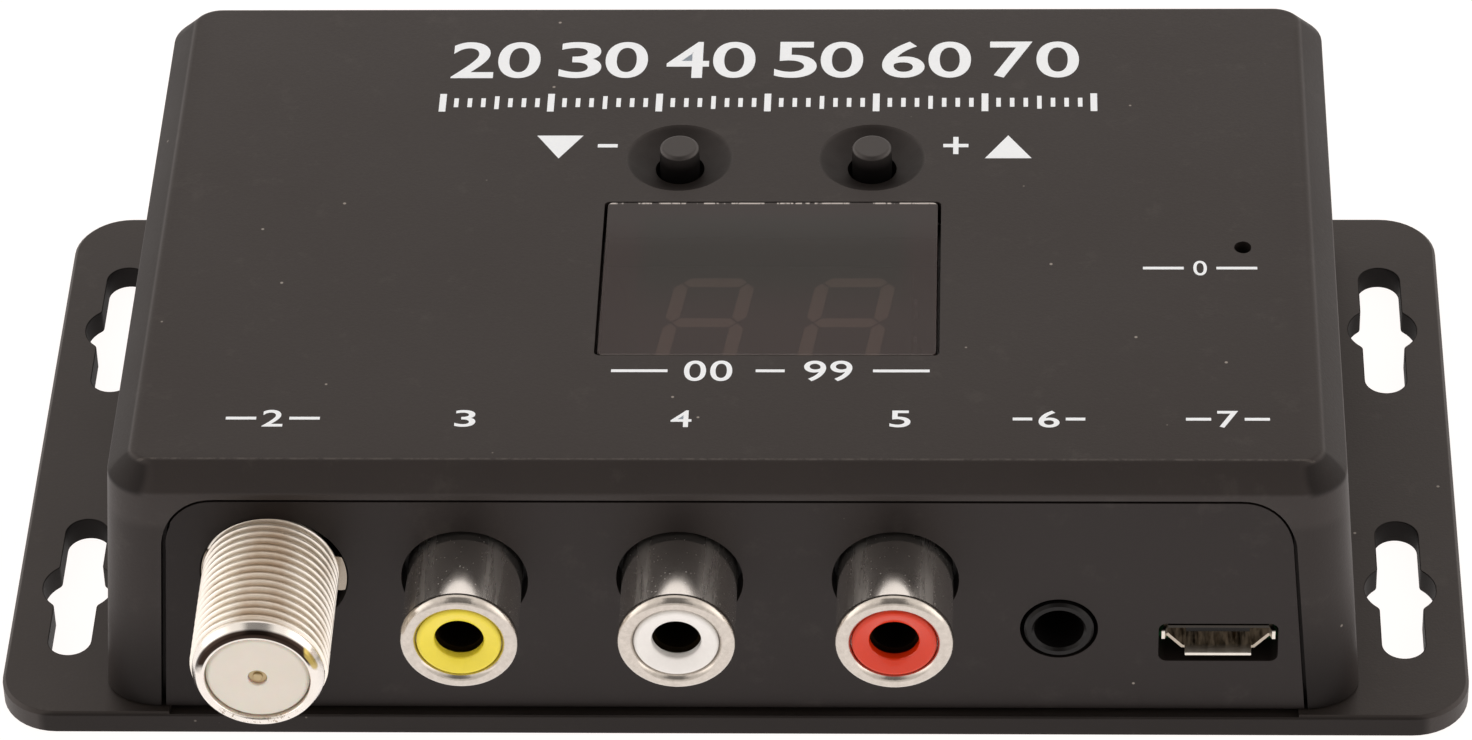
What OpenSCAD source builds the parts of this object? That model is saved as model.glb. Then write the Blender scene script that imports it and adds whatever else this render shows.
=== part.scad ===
// Compact video-to-aerial modulator. A low bevelled case stands on a base plate with slotted ears.
// Every socket is on the front panel; two channel buttons and a two-digit display are in the roof.
// X runs to the right, Y from the front to the back, Z up. The origin is the middle of the underside.

/* [Case] */
// Width of the case between its mounting ears
case_w = 89; // [88:0.25:98]
// Depth of the case from front to back
case_d = 57; // [56:0.25:68]
// Height of the closed case
case_h = 24.5; // [24.25:0.25:28]
// Thickness of the side and back walls
wall = 2; // [1.6:0.1:2.4]
// Thickness of the roof
roof = 2; // [1.8:0.05:2.2]
// Radius of the upright corners
corner_r = 3.2; // [2.8:0.1:4]
// Width of the bevel round the roof
bevel_w = 1.6; // [1.2:0.1:2]
// Height of the bevel round the roof
bevel_h = 1.85; // [1.4:0.05:2.1]
// Radius that blends the bevel into the roof and the walls
bevel_blend_r = 0.4; // [0.2:0.05:0.6]

/* [Base plate] */
// Thickness of the base plate
plate_t = 1.95; // [1.8:0.05:2.6]
// Width of each mounting ear beside the case
ear_w = 9.6; // [9.2:0.1:13]
// How far the plate stands out in front of and behind the case
plate_margin = 0.75; // [0.4:0.05:1.5]
// Radius of the plate's corners
plate_corner_r = 4.3; // [3:0.1:6]
// Width of the screw slots in the ears
slot_w = 3.2; // [3:0.1:3.8]
// Length of the screw slots in the ears
slot_l = 15.3; // [12:0.1:17]
// Distance between the two slots of an ear, centre to centre
slot_pitch = 30.4; // [26:0.2:34]
// Diameter of the round eye in the middle of each slot
slot_eye_d = 5.3; // [4.6:0.1:6]

/* [Front panel] */
// Width of case front left at each side of the panel
panel_cheek = 3.3; // [3.1:0.05:3.8]
// Height of case front left above the panel
panel_head = 2.6; // [2.4:0.05:2.8]
// Radius of the panel's two top corners
panel_corner_r = 4.5; // [2:0.1:6]
// Thickness of the part of the panel that fills the opening
panel_t = 1.2; // [1:0.05:1.5]
// Thickness of the flange behind the opening
panel_flange_t = 1.2; // [0.8:0.05:1.4]
// Open seam between the panel and the case
panel_gap = 0.2; // [0.15:0.05:0.3]

/* [Circuit board] */
// Thickness of the circuit board
board_t = 1.6; // [1:0.1:2]
// Height of the board's underside above the base plate
board_stand = 3.85; // [3.6:0.05:4]

/* [Aerial connector] */
// Outside diameter of the connector's thread
aerial_thread_d = 9.525; // [9.2:0.025:9.8]
// How far the connector stands out of the panel
aerial_reach = 11.7; // [9:0.1:16]
// Distance of the connector from the panel's left edge
aerial_inset = 8.2; // [8:0.05:8.6]
// Height of the connector's axis above the board
aerial_rise = 7.95; // [7.6:0.05:8.1]

/* [Phono sockets] */
// Distance between neighbouring sockets
phono_pitch = 15.55; // [14:0.05:15.8]
// Outside diameter of a socket's rolled rim
phono_rim_d = 8.56; // [8.3:0.02:8.7]
// How far a socket stands out of the panel
phono_reach = 7.1; // [6:0.1:10]
// Inside diameter of the contact that grips a plug's pin
phono_bore_d = 3.3; // [3.2:0.02:3.4]
// Height of the sockets' axis above the board
phono_rise = 7.15; // [6.9:0.05:7.7]

/* [Remote eye jack] */
// Inside diameter of the jack
jack_bore_d = 3.6; // [3.5:0.02:3.8]
// Outside diameter of the jack's nose
jack_nose_d = 5.06; // [4.9:0.02:5.3]
// Distance of the jack from the panel's right edge
jack_inset = 17.33; // [16.5:0.05:18]

/* [Power socket] */
// Width of the power socket's shell
power_w = 7.8; // [7.5:0.05:8]
// Height of the power socket's shell
power_h = 2.5; // [2.4:0.05:2.7]
// Distance of the power socket from the panel's right edge
power_inset = 5.8; // [5.6:0.05:6.4]

/* [Channel buttons] */
// Distance between the two buttons
button_pitch = 14.5; // [13:0.1:15.5]
// Diameter of a button
button_d = 3; // [2.8:0.05:3.1]
// Height of a button above the roof
button_stand = 1.1; // [0.6:0.05:2]
// Travel of a button
button_travel = 0.25; // [0.15:0.01:0.3]
// Diameter of the dished well round a button
dish_d = 8.1; // [7:0.1:9]
// Depth of the dished well, to the lowest point of its curve
dish_depth = 1.35; // [1:0.05:1.5]

/* [Display] */
// Width of the display window
window_w = 24.8; // [24:0.1:26]
// Depth of the display window from front to back
window_d = 17.5; // [16.5:0.1:18.5]
// Depth of the digits' face below the roof's top surface
digit_drop = 4.1; // [3.8:0.05:5]
// Height of a digit, between the middles of its top and bottom bars
digit_h = 9.4; // [8.4:0.1:9.8]
// Width of a digit, between the middles of its upright bars
digit_w = 4.95; // [4.4:0.05:5.4]

/* [Hidden] */
$fn = 48;

// One overrun for every cut, and one fine clearance for pieces that are pushed together
overrun = 0.5;
snug = 0.03;

// Finishes
case_colour = [0.28, 0.26, 0.25];
panel_colour = [0.21, 0.19, 0.19];
smoke_colour = [0.3, 0.24, 0.23, 0.6];
steel_colour = [0.78, 0.78, 0.77];
nickel_colour = [0.83, 0.8, 0.75];
brass_colour = [0.82, 0.68, 0.35];
black_colour = [0.08, 0.08, 0.08];
board_colour = [0.1, 0.33, 0.2];
milk_colour = [0.88, 0.85, 0.79];
yellow_colour = [0.93, 0.79, 0.12];
white_colour = [0.93, 0.92, 0.9];
red_colour = [0.78, 0.12, 0.1];
green_colour = [0.35, 0.7, 0.35];
resistor_colour = [0.15, 0.15, 0.17];
ceramic_colour = [0.62, 0.5, 0.36];

// Heights and planes that the pieces share
panel_y = -case_d / 2;
roof_under = case_h - roof;
board_under = plate_t + board_stand;
board_top = board_under + board_t;
plate_w = case_w + 2 * ear_w;
plate_d = case_d + 2 * plate_margin;

// Edges of the case and of the plate
blend_steps = 3;
foot_chamfer = 0.15;
plate_foot_chamfer = 0.15;
plate_edge = 0.25;
cavity_edge = 0.3;

// Screw slots in the ears
slot_offset = 0.2;
slot_x = (case_w + ear_w) / 2 + slot_offset;
slot_blend_r = 0.5;

// Front panel: its opening, its flange and the groove that it stands in
panel_shift = 0.1;
panel_w = case_w - 2 * panel_cheek;
panel_top = case_h - panel_head;
panel_flange_w = 0.9;
panel_flange_rise = 0.25;
panel_slot_gap = 0.25;
panel_foot_chamfer = 0.2;
groove_depth = 0.45;
groove_lip = 0.15;
groove_floor = plate_t - groove_depth;
rail_t = 1.2;
rail_h = 2.4;
rail_w_share = 0.88;
rim_t = 1;
rim_h = 2.2;
rim_gap = 0.2;
rim_front = 4;

// Case screws: from below, through the plate and the board, into the cover's bosses
screw_r = 1.25;
screw_gap = 0.05;
screw_grip = 7;
screw_head_r = 2.25;
screw_head_h = 1.5;
screw_head_edge = 0.35;
screw_head_sink = 0.35;
screw_cross_w = 0.6;
screw_cross_l = 2.6;
screw_cross_depth = 0.9;
sink_r = 2.55;
sink_depth = screw_head_h + screw_head_sink;
standoff_r = 3.4;
standoff_hole_r = 1.45;
boss_r = 2.8;
boss_web_t = 1.2;
boss_web_foot = 3;
post_r = 2;
post_hollow_r = 0.9;
post_shares = [[-0.40, -0.18], [-0.04, 0.42], [0.34, 0.12], [0.05, -0.44]];

// Width of panel that the sockets' places are stated for; on another width they spread or close up with it
socket_row_w = 82.4;
spread_share = panel_w / socket_row_w;

// Circuit board
board_side_gap = 0.9;
board_back_gap = 0.8;
board_front_gap = 0.1;
board_corner_cut = 1.5;
board_w = case_w - 2 * (wall + board_side_gap);
board_front = panel_y + panel_t + panel_flange_t + board_front_gap;
board_back = case_d / 2 - wall - board_back_gap;
board_d = board_back - board_front;
board_y = (board_front + board_back) / 2;
pin_tail = 0.9;
pin_end = board_under - pin_tail;

// Aerial connector and the shield can that carries it
aerial_x = panel_shift - panel_w / 2 + aerial_inset * spread_share;
aerial_z = board_top + aerial_rise;
aerial_thread_r = aerial_thread_d / 2;
aerial_chamfer_l = 0.9;
aerial_chamfer_w = 0.45;
aerial_hex_margin = 0.05;
aerial_hex_r = (aerial_thread_r + aerial_hex_margin) / cos(30);
aerial_hex_gap = 0.2;
aerial_hex_edge = 0.4;
aerial_hex_turn = 14;
aerial_hole_gap = 0.61;
aerial_hole_shift = [0.18, -0.42];
aerial_lug_w = 3.6;
aerial_lug_turn = -3.5;
aerial_lug_gap = 0.1;
aerial_lug_drop = 0.05;
aerial_wall_t = 1;
aerial_bore_r = aerial_thread_r - aerial_wall_t;
aerial_face_drop = 0.2;
aerial_face_edge = 0.25;
aerial_contact_r = 0.65;
aerial_contact_bore_r = 0.35;
aerial_contact_drop = 0.25;
aerial_contact_tail = 2.4;
aerial_neck_r = 4.2;
aerial_stake_r = 4.7;
aerial_stake_t = 0.6;
can_t = 0.4;
can_w_share = 0.187;
can_w = can_w_share * panel_w;
can_l_share = 0.464;
can_l = can_l_share * board_d;
can_setback = 8.9;
can_headroom = 1.9;
can_top = roof_under - can_headroom;
can_lid_skirt = 3;
can_lid_gap = 0.05;
can_dimple_r = 0.5;
can_front_y = panel_y + can_setback;
can_right_x = aerial_x + can_w / 2 + can_t + can_lid_gap;

// Places of the case screws: two in the rear corners, two beside the can and opposite it
rear_screw_inset = [6.2, 6.2];
front_screw_gap = 1.15;
front_screw_x = can_right_x + front_screw_gap + boss_r;
front_screw_y = 19.8;
screw_places = [
    [-case_w / 2 + rear_screw_inset.x, case_d / 2 - rear_screw_inset.y],
    [case_w / 2 - rear_screw_inset.x, case_d / 2 - rear_screw_inset.y],
    [front_screw_x, panel_y + front_screw_y],
    [-front_screw_x, panel_y + front_screw_y]
];

// Phono sockets
phono_step = phono_pitch * spread_share;
phono_group_offset = -3.38;
phono_group_x = phono_group_offset * spread_share;
phono_z = board_top + phono_rise;
phono_rim_r = phono_rim_d / 2;
phono_rim_wall = 1.2;
phono_neck_step = 0.1;
phono_insert_gap = 0.02;
phono_insert_r = phono_rim_r - phono_rim_wall - phono_insert_gap;
phono_insert_drop = 0.1;
phono_insert_edge = 0.3;
phono_insert_dish = 0.5;
phono_mouth_share = 1.07;
phono_mouth_r = phono_mouth_share * phono_bore_d / 2;
phono_mouth_l = 1.1;
phono_contact_t = 0.5;
phono_contact_gap = 0.1;
phono_contact_drop = 1.6;
phono_contact_l = 8;
phono_rod_r = 0.5;
phono_hole_gap = 0.3;
phono_housing_w_share = 0.669;
phono_housing_w = phono_housing_w_share * phono_step;
phono_housing_l = 11;
phono_housing_head = 5.2;
phono_housing_edge = 0.8;
phono_seat_depth = 3;
phono_insert_depth = 4.2;
phono_leg_gap = 0.7;

// Remote eye jack
jack_x = panel_shift + panel_w / 2 - jack_inset * spread_share;
jack_body_w = 6;
jack_body_h = 5;
jack_body_l = 11.6;
jack_bore_l = 10;
jack_rise = jack_body_h / 2;
jack_z = board_top + jack_rise;
jack_nose_reach = 0.25;
jack_nose_edge = 0.2;
jack_lead_in = 0.2;
jack_hole_gap = 0.29;
jack_terminal_t = 0.3;
jack_terminal_w = 1.2;
jack_terminal_h = 2.6;
jack_terminal_shares = [0.3, 0.8];

// Power socket
power_x = panel_shift + panel_w / 2 - power_inset * spread_share;
power_lift = 0.15;
power_z = board_top + power_lift;
power_l = 5.6;
power_sheet = 0.25;
power_lip_l = 0.6;
power_lip_flare = 0.22;
power_flat_share = 0.68;
power_knee_share = 0.55;
power_tongue_w = 4.6;
power_tongue_t = 0.55;
power_tongue_rise = 1.05;
power_tongue_drop = 1.2;
power_back_t = 1;
power_contact_w = 0.3;
power_contact_t = 0.12;
power_contact_pitch = 0.65;
power_contact_count = 5;
power_tab_l = 1.2;
power_hole_side = 0.42;
power_hole_below = 0.75;
power_hole_above = 0.35;
power_hole_r = 0.6;

// Channel buttons and their switches
button_group_x = 2.8;
button_set_back = 36.7;
button_y = panel_y + button_set_back;
button_x = [button_group_x - button_pitch / 2, button_group_x + button_pitch / 2];
button_edge = 0.2;
button_hole_gap = 0.35;
button_hole_r = button_d / 2 + button_hole_gap;
collar_t = 1.05;
collar_h = 1.6;
dish_r = (dish_d * dish_d / 4 + dish_depth * dish_depth) / (2 * dish_depth);
switch_w = 6;
switch_base_h = 3.2;
switch_plate_t = 0.3;
switch_floor_t = 1;
switch_well_r = 2.25;
switch_plate_hole_gap = 0.15;
switch_rivet_r = 0.5;
switch_rivet_inset = 0.9;
switch_rivet_h = 0.2;
flange_r = 2;
flange_t = 0.8;
flange_play = 0.05;
stub_r = 1;
dome_r = 2.1;
dome_sheet = 0.15;
dome_h = button_travel + 2 * dome_sheet;
switch_floor_z = board_top + switch_floor_t;
switch_plate_z = board_top + switch_base_h;
flange_z = switch_plate_z - flange_play - flange_t;
stub_end = switch_floor_z + dome_h + flange_play;
dome_ball_r = (dome_r * dome_r + dome_h * dome_h) / (2 * dome_h);
leg_t = 0.3;
leg_w = 0.7;
leg_rise = 1.2;
leg_spacing = 4.5;
leg_hole_r = 0.55;

// Display window, display and digits
window_x = 2.9;
window_set_back = 22.1;
window_y = panel_y + window_set_back;
window_side_gap = 0.25;
window_end_gap = 0.1;
window_corner_r = 0.4;
window_flange_w = 1;
window_flange_t = 0.8;
display_offset = 0.15;
display_x = window_x + display_offset;
display_w = 20.2;
display_d = 12.8;
display_h = 8;
display_face = case_h - digit_drop;
display_under = display_face - display_h;
digit_pitch = 10.5;
digit_slant = tan(8);
bar_half_t = 0.5;
bar_gap = 0.12;
bar_depth = 0.4;
point_r = 0.55;
point_offset = 1.05;
pin_r = 0.25;
pin_hole_r = 0.4;
pin_pitch = 2.54;
pins_in_row = 5;
row_spacing = 10.16;
spacer_w = 2.5;
spacer_end = 1.27;

// Power light
led_inset = 6.84;
led_set_back = 25.9;
led_x = case_w / 2 - led_inset;
led_y = panel_y + led_set_back;
led_window_r = 0.7;
led_r = 1.5;
led_h = 5.3;
led_rim_r = 1.9;
led_rim_t = 1;
led_top_gap = 0.2;
led_lead_r = 0.25;
led_lead_spacing = 2.54;
led_spacer_r = 2.1;
led_top = roof_under - led_top_gap;
led_foot = led_top - led_h;

// Small parts on the board: their sizes, and their places as shares of the board from its middle
chip_lead_t = 0.2;
chip_lead_w = 0.42;
chip_lead_pitch = 1.27;
chip_lift = 0.1;
controller_size = [7.5, 12.8, 2.3];
controller_leads = 10;
controller_lead_reach = 1.4;
controller_share = [0.335, 0.108];
modulator_size = [3.9, 9.9, 1.5];
modulator_leads = 8;
modulator_lead_reach = 1.05;
crystal_w = 4.65;
crystal_l = 11;
crystal_h = 3.5;
crystal_flange = 0.35;
regulator_size = [6.5, 3.5, 1.6];
regulator_tab_w = 3;
regulator_lead_w = 0.7;
regulator_lead_reach = 1.75;
regulator_lead_pitch = 2.3;
regulator_share = [0.37, -0.21];
inductor_r = 3.9;
inductor_core_r = 2.6;
inductor_h = 4.8;
inductor_cheek_t = 0.9;
inductor_share = [0.31, 0.37];
can_cap_r = 3.15;
can_cap_h = 9;
can_cap_bead = 0.35;
can_cap_bead_rise = 1.6;
can_cap_shares = [[-0.36, 0.23], [-0.24, 0.37], [-0.145, 0.37]];
chip_part_size = [2, 1.25, 0.6];
chip_part_cap_l = 0.4;
chip_cap_shares = [[0.31, -0.07], [0.35, -0.07], [0.39, -0.07], [0.43, 0.20], [-0.26, 0.08], [-0.22, 0.08]];
chip_resistor_shares = [
    [-0.26, 0.16], [-0.22, 0.16], [-0.18, 0.16], [-0.26, 0.23], [-0.22, 0.23], [-0.18, 0.23],
    [0.44, 0.27], [0.44, 0.33]
];

// Puts a piece on the front panel: its Z points out of the panel, its Y points up
module facing_front(x, z) {
    translate([x, panel_y, z]) rotate([90, 0, 0]) children();
}

// A round bar along Z from one height to another
module bar(r, low, high) {
    translate([0, 0, low]) cylinder(r = r, h = high - low);
}

// A box in the middle of X and Y, from one height to another
module block(w, d, low, high) {
    translate([-w / 2, -d / 2, low]) cube([w, d, high - low]);
}

// A rectangle with round corners, centred
module rounded_rect(w, d, r) {
    union() {
        square([w - 2 * r, d], center = true);
        square([w, d - 2 * r], center = true);
        for (x = [r - w / 2, w / 2 - r], y = [r - d / 2, d / 2 - r]) translate([x, y]) circle(r = r);
    }
}

// A rectangle from one level to another, with its two upper corners round
module round_topped(w, low, high, r) {
    union() {
        translate([-w / 2, low]) square([w, high - low - r]);
        translate([r - w / 2, low]) square([w - 2 * r, high - low]);
        for (x = [r - w / 2, w / 2 - r]) translate([x, high - r]) circle(r = r);
    }
}

// A vector turned by an angle
function turned(v, angle) = [v.x * cos(angle) - v.y * sin(angle), v.x * sin(angle) + v.y * cos(angle)];

// Points that round a corner off; along_a and along_b are its two sides as unit vectors
function rounding(vertex, along_a, along_b, r) =
    let (
        half_angle = acos(along_a * along_b) / 2,
        bisector = (along_a + along_b) / norm(along_a + along_b),
        centre = vertex + bisector * r / sin(half_angle),
        start = vertex + along_a * r / tan(half_angle) - centre,
        end = vertex + along_b * r / tan(half_angle) - centre,
        sweep = sign(cross(start, end)) * (180 - 2 * half_angle)
    ) [for (step = [0 : blend_steps]) centre + turned(start, sweep * step / blend_steps)];

// One side of a slab's outline, from its foot to its roof: foot chamfer, wall, bevel, and a blend at
// both ends of the bevel. levels is [bottom, top], bevel is [foot chamfer, width, height, blend radius].
function slab_side(half, levels, bevel) =
    let (
        shoulder = [half, levels[1] - bevel[2]],
        brow = [half - bevel[1], levels[1]],
        slope = (brow - shoulder) / norm(brow - shoulder)
    ) concat(
        [[half - bevel[0], levels[0]], [half, levels[0] + bevel[0]]],
        bevel[3] > 0 ? rounding(shoulder, [0, -1], slope, bevel[3]) : [shoulder],
        bevel[3] > 0 ? rounding(brow, -slope, [-1, 0], bevel[3]) : [brow]
    );

// The whole outline across a slab
module slab_section(span, levels, bevel) {
    side = slab_side(span / 2, levels, bevel);
    last = len(side) - 1;
    polygon(concat(side, [for (i = [0 : last]) [-side[last - i].x, side[last - i].y]]));
}

// A slab with round upright corners, whose edges have the same outline all the way round
module slab(w, d, r, levels, bevel) {
    union() {
        rotate([90, 0, 0]) translate([0, 0, r - d / 2]) linear_extrude(d - 2 * r)
            slab_section(w, levels, bevel);
        rotate([90, 0, 90]) translate([0, 0, r - w / 2]) linear_extrude(w - 2 * r)
            slab_section(d, levels, bevel);
        for (turn = [0 : 3]) {
            along_x = turn == 0 || turn == 3 ? 1 : -1;
            along_y = turn < 2 ? 1 : -1;
            translate([along_x * (w / 2 - r), along_y * (d / 2 - r), 0]) rotate([0, 0, 90 * turn])
                rotate_extrude(angle = 90)
                    polygon(concat([[0, levels[0]]], slab_side(r, levels, bevel), [[0, levels[1]]]));
        }
    }
}

// Places that several pieces share
module at_screws() {
    for (place = screw_places) translate([place.x, place.y, 0]) children();
}

module at_display_pins() {
    for (row = [-1, 1], pin = [0 : pins_in_row - 1])
        translate([
            display_x + (pin - (pins_in_row - 1) / 2) * pin_pitch, window_y + row * row_spacing / 2, 0
        ]) children();
}

module at_led_leads() {
    for (side = [-1, 1]) translate([led_x + side * led_lead_spacing / 2, led_y, 0]) children();
}

module at_switch_legs() {
    for (x = button_x, side = [-1, 1], row = [-1, 1])
        translate([x + side * (switch_w + leg_t) / 2, button_y + row * leg_spacing / 2, 0]) children();
}

module at_phono_legs() {
    for (place = [-1 : 1])
        translate([
            phono_group_x + place * phono_step,
            panel_y + panel_t + panel_flange_t + phono_housing_l + phono_leg_gap, 0
        ]) children();
}

module at_jack_terminals() {
    for (side = [-1, 1], share = jack_terminal_shares)
        translate([
            jack_x + side * (jack_body_w + jack_terminal_t) / 2,
            panel_y + panel_t + panel_flange_t + share * jack_body_l, 0
        ]) children();
}

module at_board_share(share) {
    translate([share.x * board_w, board_y + share.y * board_d, board_top]) children();
}

// One screw slot: a long slot with a round eye in its middle, blended where the two meet
module slot_outline() {
    slot_r = slot_w / 2;
    eye_r = slot_eye_d / 2;
    blend_y = sqrt(pow(eye_r + slot_blend_r, 2) - pow(slot_r + slot_blend_r, 2));
    union() {
        circle(r = eye_r);
        square([slot_w, slot_l - slot_w], center = true);
        for (end = [-1, 1]) translate([0, end * (slot_l / 2 - slot_r)]) circle(r = slot_r);
        for (side = [-1, 1], end = [-1, 1]) difference() {
            polygon([[0, 0], [0, end * blend_y], [side * (slot_r + slot_blend_r), end * blend_y]]);
            translate([side * (slot_r + slot_blend_r), end * blend_y]) circle(r = slot_blend_r);
        }
    }
}

// The base plate: ears, a groove for the panel, a low rim inside the case, standoffs and posts
module base_plate() {
    rim_w = case_w - 2 * (wall + rim_gap);
    rim_back = case_d / 2 - wall - rim_gap;
    rim_start = panel_y + panel_t + panel_flange_t + rim_front;
    rail_y = panel_y + panel_t + panel_flange_t + board_front_gap;
    color(case_colour) difference() {
        union() {
            slab(plate_w, plate_d, plate_corner_r, [0, plate_t],
                [plate_foot_chamfer, plate_edge, plate_edge, 0]);
            difference() {
                linear_extrude(plate_t + rim_h)
                    round_topped(rim_w, rim_start, rim_back, corner_r - wall - rim_gap);
                translate([rim_t - rim_w / 2, rim_start - overrun, plate_t])
                    cube([rim_w - 2 * rim_t, rim_back - rim_start - rim_t + overrun, rim_h + overrun]);
            }
            translate([-rail_w_share * panel_w / 2, rail_y, 0])
                cube([rail_w_share * panel_w, rail_t, plate_t + rail_h]);
            at_screws() bar(standoff_r, 0, board_under);
            for (share = post_shares) translate([share.x * board_w, board_y + share.y * board_d, 0])
                bar(post_r, 0, board_under);
        }
        for (x = [-slot_x, slot_x], y = [-slot_pitch / 2, slot_pitch / 2])
            translate([x, y, -overrun]) linear_extrude(plate_t + 2 * overrun) slot_outline();
        at_screws() bar(sink_r, -overrun, sink_depth);
        at_screws() bar(standoff_hole_r, -overrun, board_under + overrun);
        for (share = post_shares) translate([share.x * board_w, board_y + share.y * board_d, 0])
            bar(post_hollow_r, plate_t, board_under + overrun);
        translate([0, panel_y, 0]) {
            translate([panel_shift - panel_w / 2 - panel_gap, groove_lip - plate_margin, groove_floor])
                cube([panel_w + 2 * panel_gap, panel_t + plate_margin, groove_depth + overrun]);
            translate([-panel_w / 2 - panel_flange_w - panel_slot_gap, panel_t, groove_floor])
                cube([
                    panel_w + 2 * (panel_flange_w + panel_slot_gap), panel_flange_t + board_front_gap,
                    groove_depth + overrun
                ]);
        }
    }
}

// The cover: a bevelled shell open below, with a framed front, two dished wells and four bosses
module top_cover() {
    cavity_d = case_d - panel_t - wall;
    frame_w = panel_w + 2 * panel_gap;
    slot_half_w = panel_w / 2 + panel_flange_w + panel_slot_gap;
    color(case_colour) difference() {
        union() {
            difference() {
                slab(case_w, case_d, corner_r, [plate_t, case_h],
                    [foot_chamfer, bevel_w, bevel_h, bevel_blend_r]);
                translate([0, (panel_t - wall) / 2, 0])
                    slab(case_w - 2 * wall, cavity_d, corner_r - wall, [plate_t - overrun, roof_under],
                        [foot_chamfer, cavity_edge, cavity_edge, 0]);
                translate([-slot_half_w, panel_y + panel_t, plate_t - overrun])
                    cube([
                        2 * slot_half_w, panel_flange_t + board_front_gap,
                        panel_top + panel_flange_rise + panel_gap - plate_t + overrun
                    ]);
            }
            at_screws() bar(boss_r, board_top, roof_under + overrun);
            for (side = [-1, 1]) {
                boss_x = side * (case_w / 2 - rear_screw_inset.x);
                boss_y = case_d / 2 - rear_screw_inset.y;
                translate([min(boss_x, side * (case_w / 2 - wall)), boss_y - boss_web_t / 2, 0])
                    translate([0, 0, board_top + boss_web_foot])
                        cube([rear_screw_inset.x - wall, boss_web_t, roof_under - board_top - boss_web_foot]);
                translate([boss_x - boss_web_t / 2, boss_y, board_top + boss_web_foot])
                    cube([boss_web_t, rear_screw_inset.y - wall, roof_under - board_top - boss_web_foot]);
            }
            for (x = button_x) translate([x, button_y, 0])
                bar(button_hole_r + collar_t, roof_under - collar_h, roof_under + overrun);
        }
        facing_front(panel_shift, 0) translate([0, 0, -panel_t - overrun])
            linear_extrude(panel_t + 2 * overrun)
                round_topped(frame_w, plate_t - overrun, panel_top + panel_gap, panel_corner_r + panel_gap);
        at_screws() bar(screw_r + screw_gap, board_top - overrun, board_top + screw_grip);
        translate([window_x, window_y, roof_under - overrun]) linear_extrude(roof + 2 * overrun)
            rounded_rect(window_w, window_d, window_corner_r);
        for (x = button_x) translate([x, button_y, 0]) {
            translate([0, 0, case_h + dish_r - dish_depth]) sphere(r = dish_r);
            bar(button_hole_r, roof_under - collar_h - overrun, case_h + overrun);
        }
        translate([led_x, led_y, 0]) bar(led_window_r, roof_under - overrun, case_h + overrun);
    }
}

// The front panel: it fills the opening flush with the case and is held by a flange behind it
module front_panel() {
    flange_w = panel_w + 2 * panel_flange_w;
    power_hole_w = power_w + 2 * power_hole_side;
    power_hole_h = power_h + power_hole_below + power_hole_above;
    power_hole_z = power_z + (power_h + power_hole_above - power_hole_below) / 2;
    foot = plate_t;
    color(panel_colour) difference() {
        union() {
            facing_front(panel_shift, 0) translate([0, 0, -panel_t]) linear_extrude(panel_t)
                round_topped(panel_w, foot, panel_top, panel_corner_r);
            facing_front(panel_shift, 0) translate([0, 0, -panel_t - panel_flange_t])
                linear_extrude(panel_flange_t)
                    round_topped(flange_w, groove_floor, panel_top + panel_flange_rise, panel_corner_r);
        }
        translate([panel_shift, panel_y, foot]) rotate([45, 0, 0])
            cube([panel_w + overrun, panel_foot_chamfer, panel_foot_chamfer], center = true);
        facing_front(aerial_x, aerial_z) translate([aerial_hole_shift.x, aerial_hole_shift.y, 0])
            bar(aerial_thread_r + aerial_hole_gap, -panel_t - panel_flange_t - overrun, overrun);
        for (place = [-1 : 1]) facing_front(phono_group_x + place * phono_step, phono_z)
            bar(phono_rim_r + phono_hole_gap, -panel_t - panel_flange_t - overrun, overrun);
        facing_front(jack_x, jack_z)
            bar(jack_nose_d / 2 + jack_hole_gap, -panel_t - panel_flange_t - overrun, overrun);
        facing_front(power_x, power_hole_z) translate([0, 0, -panel_t - panel_flange_t - overrun])
            linear_extrude(panel_t + panel_flange_t + 2 * overrun)
                rounded_rect(power_hole_w, power_hole_h, power_hole_r);
    }
}

// The smoked window: flush with the roof, with a flange glued under it
module display_window() {
    color(smoke_colour) translate([window_x, window_y, 0]) {
        translate([0, 0, roof_under]) linear_extrude(roof)
            rounded_rect(window_w - 2 * window_side_gap, window_d - 2 * window_end_gap, window_corner_r);
        block(window_w + 2 * window_flange_w, window_d + 2 * window_flange_w,
            roof_under - window_flange_t, roof_under);
    }
}

// Four cross-head screws, put in from below
module case_screws() {
    color(steel_colour) at_screws() difference() {
        union() {
            bar(screw_r, sink_depth, board_top + screw_grip - overrun);
            translate([0, 0, screw_head_sink]) rotate_extrude() polygon([
                [0, 0], [screw_head_r - screw_head_edge, 0], [screw_head_r, screw_head_edge],
                [screw_head_r, screw_head_h], [0, screw_head_h]
            ]);
        }
        for (turn = [0, 90]) rotate([0, 0, turn])
            block(screw_cross_l, screw_cross_w, screw_head_sink - overrun,
                screw_head_sink + screw_cross_depth);
    }
}

// The circuit board, with a hole for each screw, pin and leg that passes through it
module circuit_board() {
    half_w = board_w / 2;
    cut = board_corner_cut;
    color(board_colour) difference() {
        translate([0, 0, board_under]) linear_extrude(board_t) polygon([
            [cut - half_w, board_front], [half_w - cut, board_front], [half_w, board_front + cut],
            [half_w, board_back - cut], [half_w - cut, board_back], [cut - half_w, board_back],
            [-half_w, board_back - cut], [-half_w, board_front + cut]
        ]);
        at_screws() bar(standoff_hole_r, board_under - overrun, board_top + overrun);
        at_display_pins() bar(pin_hole_r, board_under - overrun, board_top + overrun);
        at_led_leads() bar(pin_hole_r, board_under - overrun, board_top + overrun);
        at_switch_legs() bar(leg_hole_r, board_under - overrun, board_top + overrun);
        at_phono_legs() bar(phono_rod_r + pin_hole_r - pin_r, board_under - overrun, board_top + overrun);
        at_jack_terminals() bar(leg_hole_r, board_under - overrun, board_top + overrun);
    }
}

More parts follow.
